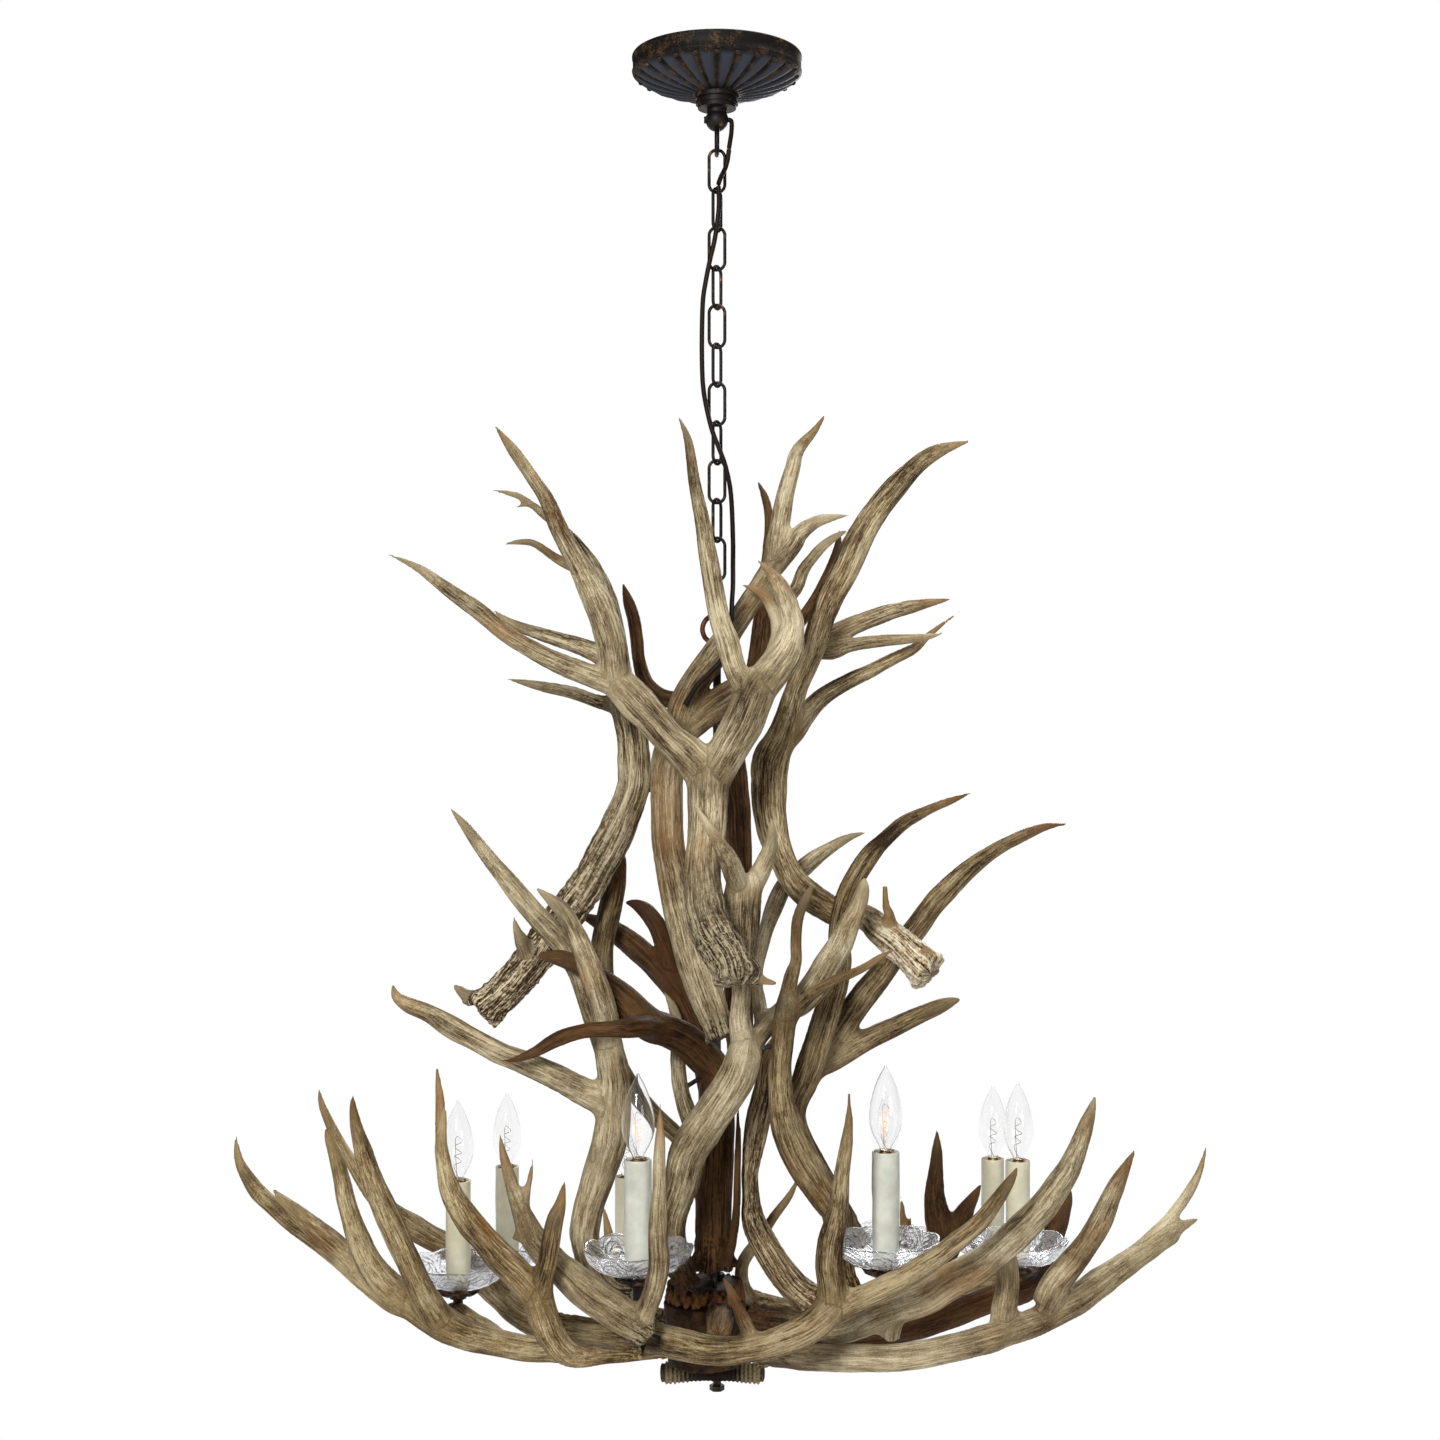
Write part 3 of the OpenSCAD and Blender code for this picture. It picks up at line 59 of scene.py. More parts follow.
def place(point):
    # Carry a drawing point [across, depth, down] to its depth, in metres
    near = growth(point)
    across = (point[0] - sheet["middle"]) * near / 1000 + sheet["eyeAcross"]
    height = sheet["eyeHeight"] - (point[2] - sheet["middle"]) * near / 1000
    return Vector((across, point[1] / 1000, height))


def girth(point):
    # The radius of a drawing point [across, depth, down, radius], in metres
    return point[3] * growth(point) / 1000


def shade(red, green, blue):
    # A colour as it is seen, 0 to 255, made linear for the shader
    levels = [c / 255 for c in (red, green, blue)]
    return tuple(c / 12.92 if c < 0.0404 else ((c + 0.055) / 1.055) ** 2.4 for c in levels) + (1,)


# Camera at the photograph's viewing point
camera = bpy.data.objects.new("camera", bpy.data.cameras.new("camera"))
scene.collection.objects.link(camera)
camera.location = (sheet["eyeAcross"], -sheet["distance"], sheet["eyeHeight"])
camera.rotation_euler = (math.radians(90), 0, 0)
camera.data.lens = sheet["lens"]
camera.data.sensor_width = sheet["film"]
camera.data.clip_end = 50
scene.camera = camera


# Shader maths: a value in a node tree that takes the usual operators
class Value:
    def __init__(self, finish, socket):
        self.finish = finish
        self.socket = socket

    def __add__(self, other):
        return self.finish.math("ADD", self, other)

    def __radd__(self, other):
        return self.finish.math("ADD", other, self)

    def __sub__(self, other):
        return self.finish.math("SUBTRACT", self, other)

    def __rsub__(self, other):
        return self.finish.math("SUBTRACT", other, self)

    def __mul__(self, other):
        return self.finish.math("MULTIPLY", self, other)

    def __rmul__(self, other):
        return self.finish.math("MULTIPLY", other, self)

    def clamp(self):
        return self.finish.math("ADD", self, 0, clamp=True)


class Finish:
    def __init__(self, name, owner=None, **fixed):
        self.material = owner or bpy.data.materials.new(name)
        self.material.use_nodes = True
        self.nodes = self.material.node_tree.nodes
        self.links = self.material.node_tree.links
        self.shader = self.nodes["Background" if owner else "Principled BSDF"]
        for socket, value in fixed.items():
            self.shader.inputs[socket.replace("_", " ")].default_value = value

    def make(self, kind, settings=None, sockets=None):
        # Any node: its settings first, then the values or links of its sockets
        node = self.nodes.new(kind)
        for key, value in (settings or {}).items():
            if key == "stops":
                ramp = node.color_ramp
                while len(ramp.elements) < len(value):
                    ramp.elements.new(0.5)
                for element, (position, colour) in zip(ramp.elements, value):
                    element.position = position
                    element.color = colour
            else:
                setattr(node, key, value)
        for key, value in (sockets or {}).items():
            self.join(value, node.inputs[key])
        return node

    def join(self, value, socket):
        if isinstance(value, Value):
            self.links.new(value.socket, socket)
        elif isinstance(value, bpy.types.NodeSocket):
            self.links.new(value, socket)
        else:
            socket.default_value = value

    def math(self, operation, first, second, clamp=False):
        settings = {"operation": operation, "use_clamp": clamp}
        node = self.make("ShaderNodeMath", settings, {0: first, 1: second})
        return Value(self, node.outputs[0])

    def attribute(self, name, output="Fac"):
        return Value(self, self.make("ShaderNodeAttribute", {"attribute_name": name}).outputs[output])

    def place(self):
        return self.make("ShaderNodeTexCoord").outputs["Object"]

    def noise(self, where, scale, detail=4, rough=0.6, distortion=0.0):
        sockets = {"Vector": where, "Scale": scale, "Detail": detail, "Roughness": rough,
                   "Distortion": distortion}
        return Value(self, self.make("ShaderNodeTexNoise", {}, sockets).outputs["Fac"])

    def between(self, value, low, high):
        settings = {"interpolation_type": "SMOOTHSTEP"}
        node = self.make("ShaderNodeMapRange", settings, {0: value, 1: low, 2: high})
        return Value(self, node.outputs[0])

    def ramp(self, value, stops):
        node = self.make("ShaderNodeValToRGB", {"stops": stops}, {"Fac": value})
        return Value(self, node.outputs["Color"])

    def blend(self, factor, first, second):
        node = self.make("ShaderNodeMix", {"data_type": "RGBA"}, {0: factor, 6: first, 7: second})
        return Value(self, node.outputs[2])

    def bump(self, height, strength, distance):
        sockets = {"Height": height, "Strength": strength, "Distance": distance}
        node = self.make("ShaderNodeBump", {}, sockets)
        self.links.new(node.outputs["Normal"], self.shader.inputs["Normal"])

    def set(self, **sockets):
        for key, value in sockets.items():
            self.join(value, self.shader.inputs[key.replace("_", " ")])
        return self.material


# Antler finishes: share of warm patches, strength of the lines, then the colours: streaks (light, middle,
# dark) and patches in the first row, rough base (crests, hollows, body) and tips in the second
antlerTones = {
    "greyTan": (0.46, 0.52, (212, 198, 164), (146, 129, 97), (58, 43, 26), (148, 110, 68),
                (180, 167, 136), (24, 19, 14), (92, 78, 56), (184, 169, 136)),
    "smoothTan": (0.46, 0.34, (206, 192, 158), (146, 129, 97), (70, 52, 32), (148, 110, 68),
                  (178, 165, 132), (34, 25, 16), (96, 79, 54), (180, 164, 130)),
    "darkBase": (0.46, 0.4, (212, 200, 168), (148, 131, 99), (58, 43, 26), (148, 108, 64),
                 (92, 66, 40), (30, 20, 12), (58, 40, 24), (180, 164, 130)),
    "warmTan": (0.5, 0.5, (200, 183, 144), (130, 108, 71), (50, 34, 18), (132, 86, 42),
                (186, 166, 122), (40, 27, 16), (100, 76, 46), (172, 150, 110)),
    "midBrown": (0.46, 0.62, (174, 156, 120), (114, 94, 62), (42, 29, 16), (122, 80, 42),
                 (170, 148, 106), (36, 25, 15), (92, 70, 43), (156, 136, 100)),
    "brownStub": (0.5, 0.8, (140, 112, 76), (100, 76, 48), (48, 33, 20), (110, 72, 36),
                  (92, 66, 40), (30, 20, 12), (58, 40, 24), (128, 98, 62)),
    "creamRidge": (0.42, 0.8, (204, 190, 156), (124, 106, 76), (38, 27, 16), (124, 94, 58),
                   (230, 214, 180), (24, 17, 10), (112, 92, 64), (178, 160, 124)),
    "creamPitted": (0.45, 0.66, (212, 196, 158), (144, 122, 86), (54, 38, 22), (142, 102, 58),
                    (246, 236, 214), (52, 32, 17), (190, 166, 126), (168, 144, 104)),
    "paleStreak": (0.45, 1.0, (206, 187, 150), (126, 103, 70), (42, 29, 17), (116, 78, 42),
                   (216, 202, 168), (52, 36, 22), (122, 98, 64), (156, 130, 92)),
    "umber": (0.5, 0.7, (102, 73, 43), (70, 48, 27), (28, 17, 9), (82, 48, 23),
              (108, 76, 44), (20, 12, 6), (54, 35, 19), (116, 88, 54)),
    "reddish": (0.45, 0.8, (132, 98, 64), (92, 66, 41), (42, 27, 16), (102, 58, 31),
                (128, 92, 57), (34, 20, 12), (84, 60, 38), (90, 71, 47)),
}
# How fine each noise of the antler finish is, in waves for each metre of its coordinate
antlerScales = {"streak": 880, "fibre": 2300, "mottle": 700, "long": 520, "soft": 15, "side": 85, "patch": 11,
                "crack": 330, "vein": 210, "worked": 34, "cells": 260, "ridge": 680, "ends": 6}


def antlerFinish(name):
    patchShare, lineShare, *colours = antlerTones[name]
    light, middle, dark, patched, base, pit, body, tipColour = [shade(*colour) for colour in colours]
    scales = antlerScales
    finish = Finish(name + "Antler", Specular_IOR_Level=0.12)
    grain = finish.attribute("grain", "Vector")
    groove = finish.attribute("groove")
    tip = finish.attribute("tip")
    rugged = finish.attribute("rugged")
    calm = 1 - finish.attribute("seam")
    lines = calm * lineShare
    where = finish.place()
    drawn = finish.make("ShaderNodeVectorMath", {"operation": "MULTIPLY"},
                        {0: grain, 1: (1, 1, 0.4)}).outputs[0]
    # Streaks and fibres along the beam, mottling in place, and the level of light and dark they make; the
    # level is lowered along the carved grooves as painted shade
    streak = finish.noise(grain, scales["streak"], 5, 0.66, 0.1)
    fibre = finish.noise(grain, scales["fibre"], 2, 0.5) * (1 - tip * 0.8)
    mottle = finish.noise(where, scales["mottle"], 3, 0.7) * (1 - tip * 0.6) + tip * 0.3
    long = finish.noise(drawn, scales["long"], 3, 0.6)
    soft = finish.noise(where, scales["soft"], 4, 0.6)
    side = finish.noise(grain, scales["side"], 3, 0.5)
    along = (streak - 0.5) * (lines * 1.4 + 0.4) + (long - 0.5) * lines * 1.5
    across = (fibre - 0.5) * (lines * 0.9 + 0.3) + (side - 0.5) * (lines * 0.9 + 0.3)
    level = (along + across + mottle * 0.5 + soft * 1.3 - groove * calm * 0.16 - 0.38).clamp()
    plain = finish.ramp(level, [(0.17, dark), (0.47, middle), (0.8, light)])
    patch = finish.between(finish.noise(where, scales["patch"], 3, 0.55), 1 - patchShare, 1.2 - patchShare)
    warm = finish.blend(patch * 0.5, plain, patched)
    # Dark cracks and pale bare lines
    crack = finish.noise(grain, scales["crack"], 4, 0.6) - 0.5
    split = finish.between(crack * crack, 0.0, 0.0007)
    vein = finish.noise(grain, scales["vein"], 3, 0.55) - 0.53
    bare = 1 - finish.between(vein * vein, 0.0, 0.0003)
    worked = finish.between(finish.noise(where, scales["worked"], 2, 0.5), 0.42, 0.62)
    lined = finish.blend((1 - split) * (1 - tip) * lines * (worked * 0.65 + 0.3), warm, dark)
    pale = finish.blend(bare * (1 - tip) * lines * 0.45, lined, light)
    # Ridges of the rough base, lowered along the carved grooves as painted shade, then the worn tips
    cells = finish.noise(where, scales["cells"], 4, 0.7)
    ridge = (finish.noise(grain, scales["ridge"], 4, 0.7, 0.3) * 1.4 + cells * 0.8
             - groove * 0.12 - 0.55).clamp()
    strong = finish.ramp(ridge, [(0.3, pit), (0.47, body), (0.62, base)])
    mixed = finish.blend(rugged, pale, strong)
    ends = finish.blend(finish.between(finish.noise(where, scales["ends"], 1, 0.5), 0.4, 0.5),
                        patched, tipColour)
    worn = finish.blend((tip * 0.6).clamp(), mixed, ends)
    relief = streak * 0.7 + fibre * 0.3 + mottle * 0.1 + split * 0.25 + ridge * rugged * 1.8
    finish.bump(relief, 0.75, 0.0015)
    return finish.set(Base_Color=worn, Roughness=(0.6 - tip * 0.14 + rugged * 0.12).clamp())


def metalFinish(name, dark, rub, rubShare, rough, metallic):
    # Dark cast metal, rubbed through to a warmer colour where it is handled
    finish = Finish(name, Specular_IOR_Level=0.25)
    where = finish.place()
    wear = finish.between(finish.noise(where, 85, 5, 0.7), 1 - rubShare, 1.12 - rubShare)
    grit = finish.noise(where, 700, 3, 0.6)
    colour = finish.blend(wear * 0.8, shade(*dark), shade(*rub))
    finish.bump(grit + wear * 0.5, 0.3, 0.0005)
    return finish.set(Base_Color=colour, Metallic=metallic,
                      Roughness=(rough + grit * 0.18 - wear * 0.1).clamp())


def burrFinish(name, dark, light, crest):
    # Dark in the hollows, paler on the crests that are marked as the rim
    finish = Finish(name, Specular_IOR_Level=0.1)
    where = finish.place()
    rim = finish.attribute("rim")
    lumps = finish.noise(where, 110, 4, 0.6)
    grit = finish.noise(where, 420, 3, 0.6)
    colour = finish.ramp(lumps * 0.7 + grit * 0.3, [(0.38, shade(*dark)), (0.7, shade(*light))])
    crests = finish.blend((rim * (grit * 1.6 - 0.1)).clamp(), colour, shade(*crest))
    finish.bump(lumps + grit * 0.4, 0.6, 0.002)
    return finish.set(Base_Color=crests, Roughness=0.66)


def canopyFinish():
    # Slate petals with a painted sheen, painted shade in the grooves between them, golden along the ribs and
    # in patches on the band
    finish = Finish("canopyBronze", Metallic=0.05, Specular_IOR_Level=0.12)
    where = finish.place()
    rib = finish.attribute("rib")
    petal = finish.attribute("petal")
    cloud = finish.noise(where, 60, 5, 0.7)
    grit = finish.noise(where, 600, 3, 0.6)
    bare = finish.between(cloud * 0.6 + grit * 0.4, 0.5, 0.62) * 0.55
    band = finish.blend(bare, shade(18, 15, 13), shade(104, 78, 48))
    # Crowns of the petals take the slate and its painted sheen; the grooves between them take the band's
    # near-black, which is painted shade
    slateSheen = finish.blend(grit * 0.5, shade(62, 65, 75), shade(26, 27, 31))
    base = finish.blend(petal, band, slateSheen)
    golden = finish.blend((rib * (cloud * 2.6 - 1.1)).clamp(), base, shade(94, 72, 46))
    finish.bump(grit, 0.25, 0.0004)
    return finish.set(Base_Color=golden, Roughness=(0.5 + grit * 0.12).clamp())


def dishFinish():
    # Clear pressed glass: a rosette of fine grey rings in each lobe, over a faint milky body, and a painted
    # highlight whitening the top of the rim
    finish = Finish("pressedGlass", Roughness=0.03, IOR=1.16, Transmission_Weight=0.88, Coat_Weight=1.0)
    lobe = finish.attribute("lobe", "Vector")
    where = finish.place()
    wander = finish.noise(where, 120, 3, 0.6)
    reach = Value(finish, finish.make("ShaderNodeVectorMath", {"operation": "LENGTH"},
                                      {0: lobe}).outputs["Value"])
    rings = finish.math("SINE", reach * 1400 + wander * 9, 0)
    flecks = finish.noise(where, 260, 3, 0.7)
    stops = [(0.12, shade(96, 100, 108)), (0.2, shade(216, 219, 224)), (0.33, shade(254, 254, 255))]
    colour = finish.ramp(rings * 0.26 + flecks * 0.8, stops)
    # Painted highlight: the top of the rim whitened
    clear = finish.blend(finish.attribute("rim") * 0.8, colour, shade(255, 255, 255))
    finish.bump(rings * 0.6 + flecks * 0.4, 0.4, 0.0006)
    return finish.set(Base_Color=clear)


def glassFinish(name, tint, rough, transmission, bend):
    finish = Finish(name, Base_Color=shade(*tint), Roughness=rough, IOR=bend,
                    Transmission_Weight=transmission)
    return finish.material


def waxFinish():
    finish = Finish("candleWax", Subsurface_Weight=0.25, Subsurface_Scale=0.004)
    where = finish.place()
    cloud = finish.noise(where, 45, 4, 0.6)
    pale = finish.ramp(cloud, [(0.32, shade(186, 187, 173)), (0.68, shade(214, 214, 202))])
    cream = finish.ramp(cloud, [(0.32, shade(204, 194, 160)), (0.68, shade(224, 216, 188))])
    colour = finish.blend(finish.attribute("cream"), pale, cream)
    finish.bump(finish.noise(where, 160, 3, 0.5), 0.25, 0.001)
    return finish.set(Base_Color=colour, Roughness=0.42)


def cordFinish():
    finish = Finish("brownCord", Specular_IOR_Level=0.12)
    where = finish.place()
    weave = finish.noise(where, 1100, 2, 0.5)
    colour = finish.ramp(weave, [(0.35, shade(16, 11, 8)), (0.7, shade(40, 27, 19))])
    finish.bump(weave, 0.3, 0.0004)
    return finish.set(Base_Color=colour, Roughness=0.5)


def glowFinish(name, colour, strength):
    # Bright at the middle of the wire only
    finish = Finish(name, Base_Color=shade(150, 132, 112), Emission_Strength=strength)
    glow = finish.blend(finish.attribute("hot"), (0, 0, 0, 1), shade(*colour))
    return finish.set(Emission_Color=glow)


finishes = {name: antlerFinish(name) for name in antlerTones}
# Metals: dark colour, rubbed colour, share rubbed, roughness and metallic
metals = {
    "bronze": ((18, 14, 11), (112, 82, 48), 0.44, 0.42, 0.25),
    "bronzeGold": ((44, 32, 21), (138, 100, 56), 0.42, 0.5, 0.3),
    "leafBronze": ((34, 23, 17), (112, 80, 52), 0.52, 0.45, 0.25),
    "brass": ((120, 94, 52), (176, 142, 84), 0.5, 0.35, 0.85),
    "redBronze": ((50, 26, 17), (104, 56, 34), 0.5, 0.5, 0.3),
    "steel": ((44, 40, 35), (92, 86, 76), 0.5, 0.42, 0.6),
    "blackSocket": ((18, 18, 18), (44, 40, 36), 0.4, 0.42, 0.0),
    "yellowCap": ((204, 156, 34), (222, 182, 62), 0.5, 0.38, 0.0),
    "coldWire": ((110, 104, 96), (150, 142, 130), 0.5, 0.4, 0.9),
}
# Burrs: dark colour, light colour, crests
burrs = {
    "redBurr": ((24, 14, 8), (82, 52, 31), (138, 94, 58)),
    "darkBurr": ((24, 15, 9), (76, 52, 31), (98, 70, 44)),
    "rollBurr": ((16, 11, 7), (46, 34, 22), (176, 158, 122)),
}
finishes.update({name: metalFinish(name, *look) for name, look in metals.items()})
finishes.update({name: burrFinish(name, *look) for name, look in burrs.items()})
finishes["canopy"] = canopyFinish()
finishes["wax"] = waxFinish()
finishes["dishGlass"] = dishFinish()
finishes["bulbGlass"] = glassFinish("bulbGlass", (252, 252, 252), 0.0, 1.0, 1.35)
finishes["cord"] = cordFinish()
finishes["litWire"] = glowFinish("litWire", (255, 150, 72), 3.0)
print("finishes made")


def dressed(mesh, name, material, body):
    # A piece with one finish that rides on a body
    piece = bpy.data.objects.new(name, mesh)
    scene.collection.objects.link(piece)
    mesh.materials.clear()
    mesh.materials.append(finishes[material])
    mesh.polygons.foreach_set("use_smooth", [True] * len(mesh.polygons))
    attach(piece, body)
    return piece


def finished(bm, name, material, body):
    # Turn a bmesh into a piece that rides on a body
    mesh = bpy.data.meshes.new(name)
    bm.to_mesh(mesh)
    bm.free()
    return dressed(mesh, name, material, body)


def melted(bm, voxel, rounds):
    # Run the solids of a bmesh together into one skin and soften it
    mesh = bpy.data.meshes.new("rough")
    bm.to_mesh(mesh)
    bm.free()
    rough = bpy.data.objects.new("rough", mesh)
    scene.collection.objects.link(rough)
    remesh = rough.modifiers.new("voxels", "REMESH")
    remesh.mode = "VOXEL"
    remesh.voxel_size = voxel
    melt = rough.modifiers.new("melt", "SMOOTH")
    melt.iterations = rounds
    melt.factor = 0.5
    whole = bpy.data.meshes.new_from_object(rough.evaluated_get(bpy.context.evaluated_depsgraph_get()))
    bpy.data.objects.remove(rough)
    return whole


def unit(value):
    return max(0, min(1, value))


def widened(v, grow):
    # Move a corner away from the upright axis
    v.co.x *= grow
    v.co.y *= grow


def marked(mesh, name, values):
    # Keep one number for each corner, read by the finishes
    mesh.attributes.new(name, "FLOAT", "POINT").data.foreach_set("value", values)


def spunProfile(bm, profile, segments):
    # A profile of [radius, height] in millimetres, spun about the upright axis
    corners = [bm.verts.new((r / 1000, 0, z / 1000)) for r, z in profile]
    edges = [bm.edges.new(pair) for pair in zip(corners[:-1], corners[1:])]
    bmesh.ops.spin(bm, geom=corners + edges, cent=(0, 0, 0), axis=(0, 0, 1), angle=math.tau, steps=segments,
                   use_merge=True)
    bmesh.ops.remove_doubles(bm, verts=bm.verts, dist=1e-6)
    bmesh.ops.recalc_face_normals(bm, faces=bm.faces)


# Cords: the same routes as in the part's source
cordSizes = {"thick": 0.0048}
cordLead = [(9, 0, -63), (12.6, 0, -63), (14.6, -0.8, -66), (14.4, -2, -76), (13, -3.4, -86), (12, -4, -92.4)]
cordLink = [(12, -4, -93.7), (10.6, -4.1, -104), (8, -4.4, -113), (4, -8, -122), (1.5, -13, -130.35)]
cordMain = [
    [718.5, -13, 186.4], [719, -14.5, 205], [717, -14.5, 225], [714, -14.5, 243],
    [710, -14, 260], [706, -12, 280], [703, -9, 300], [702, -6, 330],
    [702, -5, 360], [703, -7, 385], [706, -11, 405], [712, -14, 430],
    [719, -15, 448], [726, -13, 468], [731, -9, 495], [733, -8, 540],
    [733, -16, 565], [733, -31, 585], [732, -46, 602], [731, -60, 620],
    [727, -65, 640], [721, -65, 660], [710, -64, 673], [698, -62, 685],
    [690, -60, 697], [685, -59, 705]]


def softLine(points, steps=6):
    # A smooth line through given points
    line = []
    for i in range(len(points) - 1):
        a, b = points[max(i - 1, 0)], points[i]
        c, d = points[i + 1], points[min(i + 2, len(points) - 1)]
        for s in range(steps):
            t = s / steps
            bend = 2 * b + (c - a) * t + (2 * a - 5 * b + 4 * c - d) * t * t
            line.append(0.5 * (bend + (3 * b - a - 3 * c + d) * t ** 3))
    return line + [points[-1]]


def cordPiece(name, points, body, node):
    line = softLine(points)
    curve = bpy.data.curves.new(name, "CURVE")
    curve.dimensions = "3D"
    curve.bevel_depth = cordSizes["thick"] / 2
    curve.bevel_resolution = 4
    curve.use_fill_caps = True
    spline = curve.splines.new("POLY")
    spline.points.add(len(line) - 1)
    for spot, point in zip(spline.points, line):
        spot.co = (*point, 1)
    piece = bpy.data.objects.new(name, curve)
    scene.collection.objects.link(piece)
    curve.materials.append(finishes["cord"])
    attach(piece, body)
    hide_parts(node)
    length = sum((b - a).length for a, b in zip(line[:-1], line[1:]))
    return length


cordPiece("cordLeadPiece", [Vector(p) / 1000 for p in cordLead], "swivel", "cord_lead")
cordPiece("cordLinkPiece", [Vector(p) / 1000 for p in cordLink], "top_link", "cord_link")
mainLength = cordPiece("cordMainPiece", [place(p) for p in cordMain], "hanging", "cord_main")
print("main cord, metres:", round(mainLength, 3))


